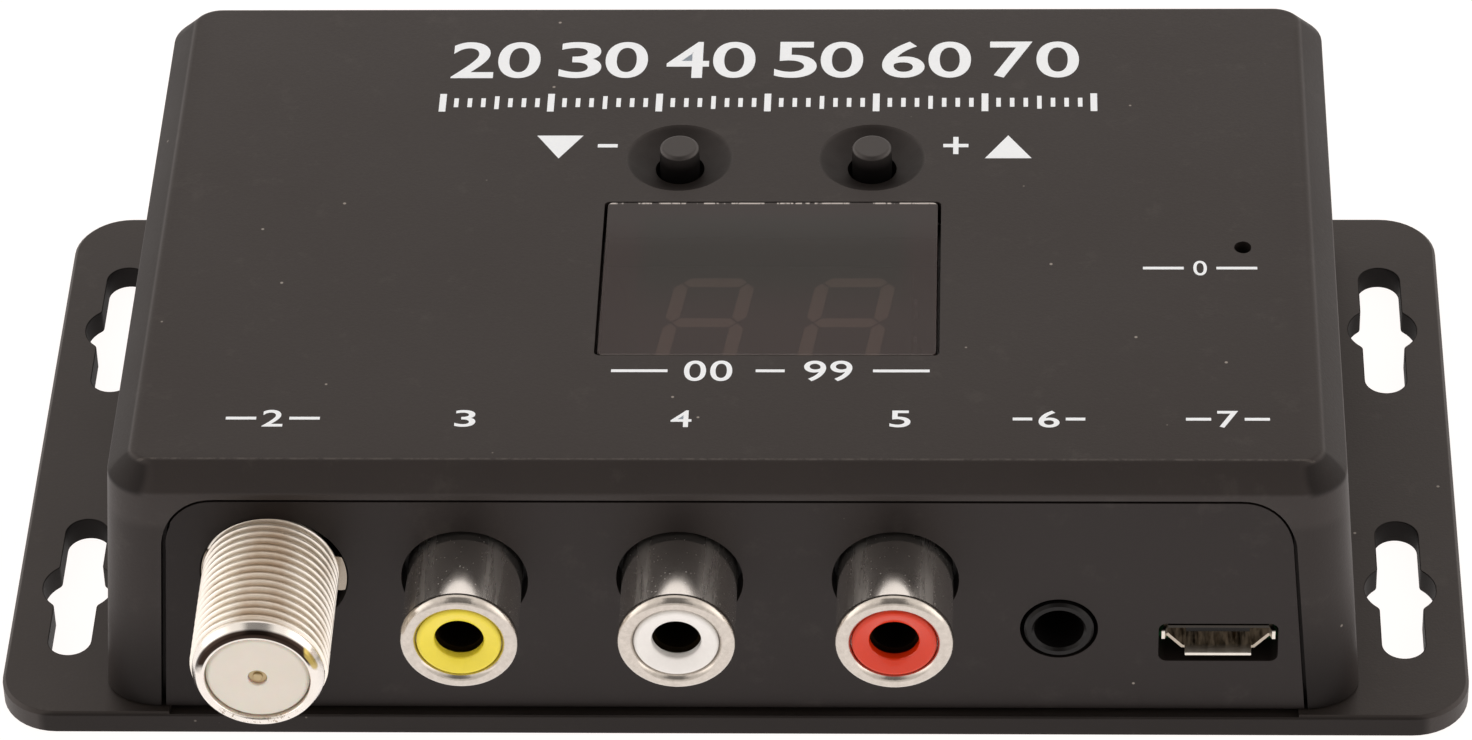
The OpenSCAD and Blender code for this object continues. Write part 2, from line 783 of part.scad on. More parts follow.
// The tinned can that screens the modulator and carries the aerial connector
module rf_shield_can() {
    color(steel_colour) difference() {
        translate([aerial_x, can_front_y + can_l / 2, 0]) difference() {
            block(can_w, can_l, board_top, can_top);
            block(can_w - 2 * can_t, can_l - 2 * can_t, board_top - overrun, can_top + overrun);
        }
        facing_front(aerial_x, aerial_z)
            bar(aerial_neck_r + snug, -can_setback - can_t - overrun, -can_setback + overrun);
    }
}

// The can's lid: a flat top with a skirt that is pushed over the can
module rf_shield_lid() {
    lid_w = can_w + 2 * (can_t + can_lid_gap);
    lid_l = can_l + 2 * (can_t + can_lid_gap);
    dimple_z = can_top - can_lid_skirt / 2;
    color(steel_colour) translate([aerial_x, can_front_y + can_l / 2, 0]) difference() {
        block(lid_w, lid_l, can_top - can_lid_skirt, can_top + can_t);
        block(can_w + 2 * can_lid_gap, can_l + 2 * can_lid_gap, can_top - can_lid_skirt - overrun, can_top);
        translate([0, 0, aerial_z]) rotate([90, 0, 0])
            bar(aerial_hex_r + snug, can_l / 2, lid_l);
        for (end = [-1, 1]) translate([0, end * can_l / 4, dimple_z]) rotate([0, 90, 0])
            bar(can_dimple_r, -lid_w, lid_w);
    }
}

// A small chip: a moulded body with a row of bent leads on each side
module leaded_chip(size, leads, reach) {
    union() {
        block(size.x, size.y, chip_lift, chip_lift + size.z);
        for (side = [-1, 1], lead = [0 : leads - 1])
            translate([side * size.x / 2, (lead - (leads - 1) / 2) * chip_lead_pitch, 0]) {
                mirror([side < 0 ? 1 : 0, 0, 0]) {
                    translate([-chip_lead_t, -chip_lead_w / 2, size.z / 2])
                        cube([reach / 2 + 2 * chip_lead_t, chip_lead_w, chip_lead_t]);
                    translate([reach / 2, -chip_lead_w / 2, 0])
                        cube([chip_lead_t, chip_lead_w, size.z / 2 + chip_lead_t]);
                    translate([reach / 2, -chip_lead_w / 2, 0])
                        cube([reach / 2, chip_lead_w, chip_lead_t]);
                }
            }
    }
}

module modulator_chip() {
    color(black_colour) translate([aerial_x, can_front_y + can_l / 2, board_top])
        leaded_chip(modulator_size, modulator_leads, modulator_lead_reach);
}

// Two lugs beside the aerial connector's thread, which centre it in the panel's hole
module aerial_lugs(low, high) {
    intersection() {
        translate([aerial_hole_shift.x, aerial_hole_shift.y, 0])
            bar(aerial_thread_r + aerial_hole_gap - aerial_lug_gap, low, high);
        rotate([0, 0, aerial_lug_turn]) block(4 * aerial_thread_r, aerial_lug_w, low, high);
    }
}

// The aerial connector's shell: a hexagonal shoulder, two lugs, a threaded barrel and a staked neck
module aerial_connector_shell() {
    barrel_end = aerial_reach - aerial_chamfer_l;
    hex_end = -panel_t - panel_flange_t - aerial_hex_gap;
    stake_end = can_setback + can_t + aerial_stake_t;
    color(nickel_colour) facing_front(aerial_x, aerial_z) difference() {
        union() {
            intersection() {
                rotate([0, 0, aerial_hex_turn]) translate([0, 0, -can_setback])
                    linear_extrude(can_setback + hex_end) circle(r = aerial_hex_r, $fn = 6);
                rotate_extrude() polygon([
                    [0, -can_setback], [aerial_hex_r + overrun, -can_setback],
                    [aerial_hex_r + overrun, hex_end - aerial_hex_edge - overrun],
                    [aerial_hex_r - aerial_hex_edge, hex_end], [0, hex_end]
                ]);
            }
            aerial_lugs(hex_end - aerial_hex_edge, -aerial_lug_drop);
            rotate_extrude() polygon([
                [0, hex_end - aerial_hex_edge], [aerial_neck_r, hex_end - aerial_hex_edge],
                [aerial_neck_r, 0], [aerial_thread_r, 0], [aerial_thread_r, barrel_end],
                [aerial_thread_r - aerial_chamfer_w, aerial_reach], [0, aerial_reach]
            ]);
            bar(aerial_neck_r, -stake_end, -can_setback);
            bar(aerial_stake_r, -stake_end, -can_setback - can_t);
        }
        bar(aerial_bore_r, -stake_end - overrun, aerial_reach + overrun);
    }
}

// The milky insulator that fills the connector, with a rounded face
module aerial_connector_insulator() {
    face = aerial_reach - aerial_face_drop;
    back = can_setback + can_t + aerial_stake_t;
    color(milk_colour) facing_front(aerial_x, aerial_z) difference() {
        rotate_extrude() polygon([
            [0, -back], [aerial_bore_r - snug, -back], [aerial_bore_r - snug, face - aerial_face_edge],
            [aerial_bore_r - snug - aerial_face_edge, face], [0, face]
        ]);
        bar(aerial_contact_r + snug, -back - overrun, face + overrun);
    }
}

// The contact that takes the cable's centre wire, and its tail down to the board
module aerial_connector_contact() {
    tip = aerial_reach - aerial_face_drop - aerial_contact_drop;
    tail = can_setback + can_t + aerial_stake_t + aerial_contact_tail;
    color(brass_colour) {
        facing_front(aerial_x, aerial_z) difference() {
            bar(aerial_contact_r, -tail, tip);
            bar(aerial_contact_bore_r, 0, tip + overrun);
        }
        translate([aerial_x, panel_y + tail - aerial_contact_r, 0])
            bar(aerial_contact_bore_r, board_top, aerial_z);
    }
}

// Phono socket: the metal sleeve, with a rolled rim round its mouth
module phono_sleeve() {
    inner_r = phono_rim_r - phono_rim_wall;
    roll_r = phono_rim_wall / 2;
    seat = panel_t + panel_flange_t + phono_seat_depth;
    color(nickel_colour) rotate_extrude() union() {
        translate([inner_r, -seat])
            square([phono_rim_wall - phono_neck_step, seat + phono_reach - roll_r]);
        translate([inner_r + roll_r, phono_reach - roll_r]) circle(r = roll_r);
    }
}

// Phono socket: the coloured insert, with a slightly dished face round the plug's way in
module phono_insert() {
    face = phono_reach - phono_insert_drop;
    back = panel_t + panel_flange_t + phono_insert_depth;
    chamber_r = phono_bore_d / 2 + phono_contact_t + phono_contact_gap;
    rotate_extrude() polygon([
        [phono_mouth_r, face - phono_mouth_l], [phono_mouth_r, face - phono_insert_dish],
        [phono_insert_r - phono_insert_edge, face], [phono_insert_r, face - phono_insert_edge],
        [phono_insert_r, -back], [chamber_r, -back], [chamber_r, face - phono_mouth_l]
    ]);
}

// Phono socket: the tube that grips the plug's pin, its rod and its leg through the board
module phono_contact() {
    bore_r = phono_bore_d / 2;
    tip = phono_reach - phono_insert_drop - phono_contact_drop;
    floor_z = tip - phono_contact_l;
    leg_y = panel_t + panel_flange_t + phono_housing_l + phono_leg_gap;
    color(brass_colour) {
        difference() {
            bar(bore_r + phono_contact_t, floor_z - phono_contact_t, tip);
            bar(bore_r, floor_z, tip + overrun);
        }
        bar(phono_rod_r, -leg_y - phono_rod_r, floor_z);
        translate([0, 0, -leg_y]) rotate([90, 0, 0]) bar(phono_rod_r, 0, phono_z - pin_end);
    }
}

// Phono socket: the black housing that stands on the board behind the panel
module phono_housing() {
    front = panel_t + panel_flange_t;
    back = front + phono_housing_l;
    half_w = phono_housing_w / 2;
    edge = phono_housing_edge;
    sleeve_r = phono_rim_r - phono_neck_step;
    color(black_colour) difference() {
        translate([0, 0, -back]) linear_extrude(phono_housing_l) polygon([
            [-half_w, board_top - phono_z], [half_w, board_top - phono_z],
            [half_w, phono_housing_head - edge], [half_w - edge, phono_housing_head],
            [edge - half_w, phono_housing_head], [-half_w, phono_housing_head - edge]
        ]);
        bar(sleeve_r + snug, -front - phono_seat_depth, -front + overrun);
        bar(phono_insert_r + snug, -front - phono_insert_depth, -front + overrun);
        bar(phono_rod_r + snug, -back - overrun, -front);
    }
}

// Puts one phono socket's piece in its place: -1 is the left socket, 0 the middle, 1 the right
module phono_place(place) {
    facing_front(phono_group_x + place * phono_step, phono_z) children();
}

// The jack for the remote eye: a moulded block with a round nose
module remote_jack_body() {
    front = panel_t + panel_flange_t;
    nose_r = jack_nose_d / 2;
    bore_r = jack_bore_d / 2;
    nose_root = board_front_gap / 2;
    color(black_colour) facing_front(jack_x, jack_z) difference() {
        union() {
            block(jack_body_w, jack_body_h, -front - jack_body_l, -front);
            rotate_extrude() polygon([
                [0, -front - nose_root], [nose_r, -front - nose_root], [nose_r, jack_nose_reach - jack_nose_edge],
                [nose_r - jack_nose_edge, jack_nose_reach], [0, jack_nose_reach]
            ]);
        }
        bar(bore_r, -jack_bore_l, jack_nose_reach + overrun);
        rotate_extrude() polygon([
            [0, jack_nose_reach - jack_lead_in], [bore_r, jack_nose_reach - jack_lead_in],
            [bore_r + jack_lead_in + overrun, jack_nose_reach + overrun], [0, jack_nose_reach + overrun]
        ]);
    }
}

module remote_jack_terminals() {
    color(steel_colour) at_jack_terminals()
        block(jack_terminal_t, jack_terminal_w - pin_r, pin_end, board_top + jack_terminal_h);
}

// Outline of the power socket: flat and wide above, with two slanted lower corners
function power_outline(inset) =
    let (
        half_w = power_w / 2,
        flat = power_flat_share * half_w,
        knee = power_knee_share * power_h,
        lean = atan((half_w - flat) / knee),
        knee_y = knee + inset * tan(lean / 2),
        flat_x = flat - inset * tan((90 - lean) / 2)
    ) [
        [inset - half_w, power_h - inset], [inset - half_w, knee_y], [-flat_x, inset],
        [flat_x, inset], [half_w - inset, knee_y], [half_w - inset, power_h - inset]
    ];

// One flared lip of the shell's mouth, which leans away from the opening
module power_lip(length) {
    translate([-length / 2, 0, 0]) rotate([90, 0, 90]) linear_extrude(length) polygon([
        [0, -power_lip_l], [power_sheet, -power_lip_l],
        [power_sheet + power_lip_flare, 0], [power_lip_flare, 0]
    ]);
}

// The power socket's folded shell, with flared lips and two tabs that stand on the board
module power_socket_shell() {
    knee = power_knee_share * power_h;
    flat_w = power_flat_share * power_w;
    side_h = power_h - knee - power_sheet;
    color(nickel_colour) facing_front(power_x, power_z) {
        translate([0, 0, -power_l]) linear_extrude(power_l - power_lip_l) difference() {
            polygon(power_outline(0));
            polygon(power_outline(power_sheet));
        }
        translate([0, power_h - power_sheet, 0]) power_lip(power_w - 2 * power_sheet);
        translate([0, power_sheet, 0]) mirror([0, 1, 0]) power_lip(flat_w - 2 * power_sheet);
        for (side = [0, 1]) mirror([side, 0, 0]) {
            translate([power_w / 2 - power_sheet, knee + side_h / 2, 0]) rotate([0, 0, -90])
                power_lip(side_h);
            translate([flat_w / 2 - power_tab_l, -power_lift, -power_l])
                cube([power_tab_l, power_lift + power_sheet, power_tab_l]);
        }
    }
}

// The plastic tongue in the power socket, and the block at its back that fills the shell
module power_socket_tongue() {
    color(black_colour) facing_front(power_x, power_z) {
        translate([0, 0, -power_l]) linear_extrude(power_back_t) polygon(power_outline(power_sheet));
        translate([-power_tongue_w / 2, power_tongue_rise, power_back_t - power_l])
            cube([power_tongue_w, power_tongue_t, power_l - power_back_t - power_tongue_drop]);
    }
}

module power_socket_contacts() {
    color(brass_colour) facing_front(power_x, power_z)
        for (contact = [0 : power_contact_count - 1])
            translate([
                (contact - (power_contact_count - 1) / 2) * power_contact_pitch - power_contact_w / 2,
                power_tongue_rise - power_contact_t, power_back_t - power_l
            ]) cube([
                power_contact_w, power_contact_t, power_l - power_back_t - power_tongue_drop - power_contact_w
            ]);
}

// One bar of a digit: a long hexagon, upright or flat, that leans with the digit
module digit_bar(centre, half_l, upright, grow) {
    t = bar_half_t + grow;
    l = half_l + grow;
    shape = [[-l, 0], [t - l, t], [l - t, t], [l, 0], [l - t, -t], [t - l, -t]];
    polygon([for (p = shape)
        let (q = upright ? [centre.x + p.y, centre.y + p.x] : centre + p) [q.x + q.y * digit_slant, q.y]]);
}

// Both digits, bar by bar, with a point after each
module digit_bars(grow, low, high) {
    across = digit_w / 2 - bar_gap;
    along = digit_h / 4 - bar_gap;
    for (digit = [-1, 1]) translate([display_x + digit * digit_pitch / 2, window_y, low])
        linear_extrude(high - low) {
            for (row = [-1 : 1]) digit_bar([0, row * digit_h / 2], across, false, grow);
            for (side = [-1, 1], row = [-1, 1])
                digit_bar([side * digit_w / 2, row * digit_h / 4], along, true, grow);
            translate([digit_w / 2 + point_offset, -digit_h / 2]) circle(r = point_r + grow);
        }
}

module display_module() {
    color(white_colour) difference() {
        translate([display_x, window_y, 0]) block(display_w, display_d, display_under, display_face);
        digit_bars(snug, display_face - bar_depth, display_face + overrun);
    }
}

module display_segments() {
    color(milk_colour) digit_bars(0, display_face - bar_depth, display_face);
}

module display_pins() {
    color(steel_colour) at_display_pins() bar(pin_r, pin_end, display_under);
}

// Two strips that hold the display up at the height of the window
module display_spacers() {
    strip_l = (pins_in_row - 1) * pin_pitch + 2 * spacer_end;
    color(black_colour) difference() {
        for (row = [-1, 1]) translate([display_x, window_y + row * row_spacing / 2, 0])
            block(strip_l, spacer_w, board_top, display_under);
        at_display_pins() bar(pin_hole_r, board_top - overrun, display_under + overrun);
    }
}

// A button: the switch's long plunger, with the flange that keeps it in the switch
module channel_button(place) {
    tip = case_h + button_stand;
    color(case_colour) translate([button_x[place], button_y, 0]) rotate_extrude() polygon([
        [0, stub_end], [stub_r, stub_end], [stub_r, flange_z], [flange_r, flange_z],
        [flange_r, flange_z + flange_t], [button_d / 2, flange_z + flange_t],
        [button_d / 2, tip - button_edge], [button_d / 2 - button_edge, tip], [0, tip]
    ]);
}

// The switch's moulded base, with the well that holds the dome and the plunger's flange
module switch_base(place) {
    color(black_colour) translate([button_x[place], button_y, 0]) difference() {
        block(switch_w, switch_w, board_top, switch_plate_z);
        bar(switch_well_r, switch_floor_z, switch_plate_z + overrun);
    }
}

// The switch's metal cover plate, held by four rivets
module switch_plate(place) {
    corner = switch_w / 2 - switch_rivet_inset;
    color(steel_colour) translate([button_x[place], button_y, 0]) {
        difference() {
            block(switch_w, switch_w, switch_plate_z, switch_plate_z + switch_plate_t);
            bar(button_d / 2 + switch_plate_hole_gap, switch_plate_z - overrun,
                switch_plate_z + switch_plate_t + overrun);
        }
        for (x = [-corner, corner], y = [-corner, corner]) translate([x, y, 0])
            bar(switch_rivet_r, switch_plate_z + switch_plate_t,
                switch_plate_z + switch_plate_t + switch_rivet_h);
    }
}

// The snap dome under the plunger: a thin cap of a sphere
module switch_dome(place) {
    color(steel_colour) translate([button_x[place], button_y, 0]) intersection() {
        translate([0, 0, switch_floor_z + dome_h - dome_ball_r]) difference() {
            sphere(r = dome_ball_r);
            sphere(r = dome_ball_r - dome_sheet);
        }
        bar(dome_r, switch_floor_z, switch_floor_z + dome_h + overrun);
    }
}

module switch_terminals() {
    color(steel_colour) at_switch_legs() block(leg_t, leg_w, pin_end, board_top + leg_rise);
}

// The power light behind its pinhole: a small round-topped lamp on its leads
module power_led() {
    color(green_colour) translate([led_x, led_y, 0]) {
        bar(led_rim_r, led_foot, led_foot + led_rim_t);
        bar(led_r, led_foot, led_top - led_r);
        translate([0, 0, led_top - led_r]) sphere(r = led_r);
    }
}

module led_leads() {
    color(steel_colour) at_led_leads() bar(led_lead_r, pin_end, led_foot);
}

module led_spacer() {
    color(black_colour) difference() {
        translate([led_x, led_y, 0]) bar(led_spacer_r, board_top, led_foot);
        at_led_leads() bar(pin_hole_r, board_top - overrun, led_foot + overrun);
    }
}

module microcontroller() {
    color(black_colour) at_board_share(controller_share)
        leaded_chip(controller_size, controller_leads, controller_lead_reach);
}

// The crystal: an oval can with a rolled foot, on the board between the display's two spacers
module crystal() {
    end_y = (crystal_l - crystal_w) / 2;
    color(steel_colour) translate([display_x, window_y, board_top]) rotate([0, 0, 90]) {
        for (part = [[crystal_w / 2, crystal_flange], [crystal_w / 2 - crystal_flange, crystal_h]])
            linear_extrude(part[1]) union() {
                square([2 * part[0], 2 * end_y], center = true);
                for (y = [-end_y, end_y]) translate([0, y]) circle(r = part[0]);
            }
    }
}

module voltage_regulator() {
    size = regulator_size;
    color(black_colour) at_board_share(regulator_share) union() {
        block(size.x, size.y, chip_lift, size.z);
        translate([0, size.y / 2, 0])
            block(regulator_tab_w, 2 * regulator_lead_reach, 0, chip_lift + chip_lead_t);
        for (lead = [-1 : 1]) translate([lead * regulator_lead_pitch, -size.y / 2, 0])
            block(regulator_lead_w, 2 * regulator_lead_reach, 0, chip_lift + chip_lead_t);
    }
}

// The storage inductor: a drum core with a wound waist
module storage_inductor() {
    color(resistor_colour) at_board_share(inductor_share) {
        bar(inductor_r, 0, inductor_cheek_t);
        bar(inductor_core_r, 0, inductor_h);
        bar(inductor_r, inductor_h - inductor_cheek_t, inductor_h);
    }
}

// Electrolytic capacitors: drawn cans with the groove that closes them near the foot
module electrolytic_capacitors() {
    color(black_colour) for (share = can_cap_shares) at_board_share(share) difference() {
        bar(can_cap_r, 0, can_cap_h);
        translate([0, 0, can_cap_bead_rise]) rotate_extrude() translate([can_cap_r, 0])
            circle(r = can_cap_bead);
    }
}

// A chip part: a small block with a metal cap at each end
module chip_part() {
    size = chip_part_size;
    block(size.x - 2 * chip_part_cap_l, size.y, chip_lift, size.z);
    for (side = [-1, 1]) translate([side * (size.x - chip_part_cap_l) / 2, 0, 0])
        block(chip_part_cap_l, size.y, 0, size.z);
}

module chip_capacitors() {
    color(ceramic_colour) for (share = chip_cap_shares) at_board_share(share) chip_part();
}

module chip_resistors() {
    color(resistor_colour) for (share = chip_resistor_shares) at_board_share(share) chip_part();
}

base_plate();
top_cover();
front_panel();
display_window();
case_screws();
circuit_board();
rf_shield_can();
rf_shield_lid();
modulator_chip();
aerial_connector_shell();
aerial_connector_insulator();
aerial_connector_contact();
phono_place(-1) phono_sleeve();  // video_socket_sleeve
color(yellow_colour) phono_place(-1) phono_insert();  // video_socket_insert
phono_place(-1) phono_contact();  // video_socket_contact
phono_place(-1) phono_housing();  // video_socket_housing
phono_place(0) phono_sleeve();  // left_audio_socket_sleeve
color(white_colour) phono_place(0) phono_insert();  // left_audio_socket_insert
phono_place(0) phono_contact();  // left_audio_socket_contact
phono_place(0) phono_housing();  // left_audio_socket_housing
phono_place(1) phono_sleeve();  // right_audio_socket_sleeve
color(red_colour) phono_place(1) phono_insert();  // right_audio_socket_insert
phono_place(1) phono_contact();  // right_audio_socket_contact
phono_place(1) phono_housing();  // right_audio_socket_housing
remote_jack_body();
remote_jack_terminals();
power_socket_shell();
power_socket_tongue();
power_socket_contacts();
display_module();
display_segments();
display_pins();
display_spacers();
channel_button(0);  // channel_down_button
switch_base(0);  // channel_down_switch_base
switch_plate(0);  // channel_down_switch_plate
switch_dome(0);  // channel_down_switch_dome
channel_button(1);  // channel_up_button
switch_base(1);  // channel_up_switch_base
switch_plate(1);  // channel_up_switch_plate
switch_dome(1);  // channel_up_switch_dome
switch_terminals();
power_led();
led_leads();
led_spacer();
microcontroller();
crystal();
voltage_regulator();
storage_inductor();
electrolytic_capacitors();
chip_capacitors();
chip_resistors();
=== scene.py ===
import math

import bmesh
import bpy
from mathutils import Matrix, Vector


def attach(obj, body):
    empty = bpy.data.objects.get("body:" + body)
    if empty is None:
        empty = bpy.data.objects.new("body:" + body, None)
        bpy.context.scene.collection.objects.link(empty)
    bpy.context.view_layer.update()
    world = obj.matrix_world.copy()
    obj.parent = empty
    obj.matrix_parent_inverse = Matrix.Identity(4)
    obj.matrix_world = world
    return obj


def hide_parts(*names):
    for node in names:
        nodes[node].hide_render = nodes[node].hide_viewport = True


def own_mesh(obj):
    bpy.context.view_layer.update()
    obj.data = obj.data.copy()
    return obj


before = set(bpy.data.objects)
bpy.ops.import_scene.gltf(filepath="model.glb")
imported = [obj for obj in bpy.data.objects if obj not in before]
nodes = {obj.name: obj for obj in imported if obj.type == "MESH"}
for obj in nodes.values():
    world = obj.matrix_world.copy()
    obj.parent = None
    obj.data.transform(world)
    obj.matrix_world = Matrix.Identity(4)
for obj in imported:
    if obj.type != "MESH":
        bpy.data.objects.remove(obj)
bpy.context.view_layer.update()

mm = 0.001


# The table, the light tent and the camera
# The object stands on a white table top in a tent of white cloth, which lights it softly from all round.
# The tent is open over the camera and the object, and that opening is the dark band in the shiny parts.
class Socket:
    """A node's output. Arithmetic on it adds the tree's Math nodes."""

    def __init__(self, tree, link):
        self.tree = tree
        self.link = link

    def maths(self, operation, *terms):
        return self.tree.node("ShaderNodeMath", {"operation": operation}, dict(enumerate(terms)))

    def __add__(self, other):
        return self.maths("ADD", self, other)

    def __radd__(self, other):
        return self.maths("ADD", other, self)

    def __sub__(self, other):
        return self.maths("SUBTRACT", self, other)

    def __rsub__(self, other):
        return self.maths("SUBTRACT", other, self)

    def __mul__(self, other):
        return self.maths("MULTIPLY", self, other)

    def __rmul__(self, other):
        return self.maths("MULTIPLY", other, self)

    def __truediv__(self, other):
        return self.maths("DIVIDE", self, other)

    def __pow__(self, other):
        return self.maths("POWER", self, other)

    def __gt__(self, other):
        return self.maths("GREATER_THAN", self, other)

    def __lt__(self, other):
        return self.maths("LESS_THAN", self, other)

    def __mod__(self, other):
        return self.maths("MODULO", self, other)

    def __abs__(self):
        return self.maths("ABSOLUTE", self)

    def at_least(self, other):
        """The larger of the two"""
        return self.maths("MAXIMUM", self, other)

    def rise(self, start, end):
        """0 below start and 1 above end, with a smooth step between them"""
        return self.tree.node("ShaderNodeMapRange", {"interpolation_type": "SMOOTHSTEP"}, {
            "Value": self, "From Min": start, "From Max": end,
        })


class Tree:
    """The nodes of a material, of the world or of a geometry modifier"""

    def __init__(self, node_tree):
        self.nodes = node_tree.nodes
        self.links = node_tree.links
        self.nodes.clear()

    def node(self, kind, settings=None, values=None, output=0):
        made = self.nodes.new(kind)
        for name, setting in (settings or {}).items():
            if name == "stops":
                for place, (position, colour) in enumerate(setting):
                    stops = made.color_ramp.elements
                    stop = stops[place] if place < 2 else stops.new(position)
                    stop.position = position
                    stop.color = (*colour, 1)
            else:
                setattr(made, name, setting)
        for name, value in (values or {}).items():
            if isinstance(value, Socket):
                self.links.new(value.link, made.inputs[name])
            else:
                made.inputs[name].default_value = value
        return Socket(self, made.outputs[output]) if len(made.outputs) else made

    def split(self, vector):
        parts = self.node("ShaderNodeSeparateXYZ", values={0: vector})
        return [Socket(self, output) for output in parts.link.node.outputs]

    def mix(self, share, first, second):
        """One colour or vector turning into another"""
        first, second = [v if isinstance(v, Socket) else (*v, 1) for v in (first, second)]
        return self.node("ShaderNodeMix", {"data_type": "RGBA"}, {0: share, 6: first, 7: second}, 2)


bpy.context.scene.view_settings.view_transform = "Standard"
world = bpy.data.worlds.new("light_tent")
world.use_nodes = True
bpy.context.scene.world = world
tent = Tree(world.node_tree)
side, depth, height = tent.split(tent.node("ShaderNodeTexCoord", output="Generated"))
opening = (1 - abs(side).rise(0.24, 0.44)) * height.rise(0.34, 0.5) * (1 - depth.rise(0.12, 0.42))
front = (-1 * depth).rise(0.15, 0.75)
side_gain, front_loss, opening_loss = 0.9, 0.25, 0.75
cloth = (1 + side_gain * abs(side).rise(0.6, 0.95)) * (1 - front_loss * front)
glow = cloth * (1 - opening_loss * opening)
background = tent.node("ShaderNodeBackground", values={"Color": (1, 0.945, 0.9, 1), "Strength": glow})
tent.node("ShaderNodeOutputWorld", values={"Surface": background})

table_w, table_gap = 4, 0.02
bpy.ops.mesh.primitive_plane_add(size=table_w, location=(0, 0, -table_gap * mm))
table = bpy.context.object
table.name = "table"
table_top = bpy.data.materials.new("white_table_top")
table_top.use_nodes = True
top_tree = Tree(table_top.node_tree)
top_surface = top_tree.node("ShaderNodeBsdfPrincipled", values={
    "Base Color": (0.1, 0.1, 0.1, 1), "Roughness": 0.9, "Specular IOR Level": 0,
    "Emission Color": (1, 0.95, 0.93, 1), "Emission Strength": 1.02,
})
top_tree.node("ShaderNodeOutputMaterial", values={"Surface": top_surface})
table.data.materials.append(table_top)

picture_w, picture_h = 1472, 740
focal_px, centre_x_px, centre_y_px = 6640.857, 712.6, 374.2
sensor_w = 36
camera_place = Vector((19.568, -386.178, 332.564)) * mm
camera_yaw, camera_pitch, camera_roll = -0.056, 0.695, -0.035
ahead = Vector((
    math.sin(camera_yaw) * math.cos(camera_pitch),
    math.cos(camera_yaw) * math.cos(camera_pitch),
    -math.sin(camera_pitch),
))
level_right = Vector((math.cos(camera_yaw), -math.sin(camera_yaw), 0))
level_up = level_right.cross(ahead)
camera_right = level_right * math.cos(camera_roll) + level_up * math.sin(camera_roll)
camera_up = level_up * math.cos(camera_roll) - level_right * math.sin(camera_roll)
camera_data = bpy.data.cameras.new("camera")
camera = bpy.data.objects.new("camera", camera_data)
bpy.context.scene.collection.objects.link(camera)
camera_turn = Matrix((camera_right, camera_up, -ahead)).transposed().to_4x4()
camera.matrix_world = Matrix.Translation(camera_place) @ camera_turn
camera_data.sensor_width = sensor_w
camera_data.lens = sensor_w * focal_px / picture_w
camera_data.shift_x = (picture_w / 2 - centre_x_px) / picture_w
camera_data.shift_y = (centre_y_px - picture_h / 2) / picture_w
camera_data.clip_start = 0.01
camera_data.clip_end = 20
bpy.context.scene.camera = camera


# Base plate
# The flat plate with two slotted ears that everything stands on, moulded in black plastic like the cover.
# Its face is spark-eroded, so it is matt. Its slots' walls and its front edge carry painted shade.
class Finish(Tree):
    """A material. What is even all over is set on its shader, and what varies is linked to it."""

    def __init__(self, name):
        self.material = bpy.data.materials.new(name)
        self.material.use_nodes = True
        super().__init__(self.material.node_tree)
        self.place = self.node("ShaderNodeTexCoord", output="Object")

    def stretched(self, scale):
        """The place with its axes scaled, which draws a pattern out along an axis of a small scale"""
        return self.node("ShaderNodeMapping", values={"Vector": self.place, "Scale": scale})

    def noise(self, size, detail=2, roughness=0.5, place=None):
        """Cloudy variation with features of that size, about 0.5 on average"""
        return self.node("ShaderNodeTexNoise", values={
            "Vector": place or self.place, "Scale": 1 / size, "Detail": detail, "Roughness": roughness,
        })

    def specks(self, spacing, size, share):
        """Sparse round specks: 1 inside a speck and 0 elsewhere"""
        values = {"Vector": self.place, "Scale": 1 / spacing}
        reach = self.node("ShaderNodeTexVoronoi", values=values, output="Distance")
        chance = self.split(self.node("ShaderNodeTexVoronoi", values=values, output="Color"))[0]
        return (1 - reach.rise(0.5 * size / spacing, size / spacing)) * (chance < share)

    def ring(self, x, y, start, end):
        """0 inside a circle on the object's plan and 1 outside it"""
        across, along, _ = self.split(self.place)
        return (((across - x * mm) ** 2 + (along - y * mm) ** 2) ** 0.5).rise(start * mm, end * mm)

    def surface(self, height=None, rise=0.01 * mm, painted_shade=None, **values):
        """Ends the material. Height is a relief of that rise, and a given share of painted shade mixes
        lightless black into it.
        """
        named = {name.replace("_", " "): value for name, value in values.items()}
        if height is not None:
            named["Normal"] = self.node("ShaderNodeBump", values={"Height": height, "Distance": rise})
        shader = self.node("ShaderNodeBsdfPrincipled", values=named)
        if painted_shade is not None:
            # Lightless black, mixed in as painted shade
            black = self.node("ShaderNodeBsdfPrincipled", values={
                "Base Color": (0.003, 0.0025, 0.0025, 1), "Roughness": 0.8, "Specular IOR Level": 0.08,
            })
            shader = self.node("ShaderNodeMixShader", values={0: painted_shade, 1: shader, 2: black})
        self.node("ShaderNodeOutputMaterial", values={"Surface": shader})
        return self.material


def tinted(colour, share):
    """The colour with each part times that share"""
    return [min(1, share * part) for part in colour]


def moulded(
    name, colour, dust_and_highlight_colour, roughness, dust_share, grain=0.012 * mm, shine=0.5, shade=None, painted_reflection=None
):
    """Black plastic from a spark-eroded mould, with a little dust on it. Shade gives its share of painted
    shade in lightless black, and the last mask its share of pale painted highlight in the dust's colour."""
    finish = Finish(name)
    patch = finish.noise(9 * mm)
    fine = finish.noise(0.22 * mm, 3, 0.6)
    dust = finish.specks(2.1 * mm, 0.15 * mm, dust_share)
    lint = finish.noise(3 * mm, 5, 0.7).rise(0.56, 0.72) * 0.03
    pale = dust + lint
    # Pale dust specks, and where given, pale painted highlights in the same colour
    if painted_reflection:
        pale = pale + painted_reflection(finish)
    base = finish.mix(pale, finish.mix(patch, tinted(colour, 0.88), tinted(colour, 1.12)), dust_and_highlight_colour)
    return finish.surface(
        fine, grain, Base_Color=base, Roughness=roughness + 0.1 * (patch - 0.5) + 0.12 * (fine - 0.5),
        Specular_IOR_Level=shine, Specular_Tint=(1, 0.92, 0.9, 1), painted_shade=shade(finish) if shade else None,
    )


edge_angle = 32
weld_reach, flat_angle = 0.001, 0.3


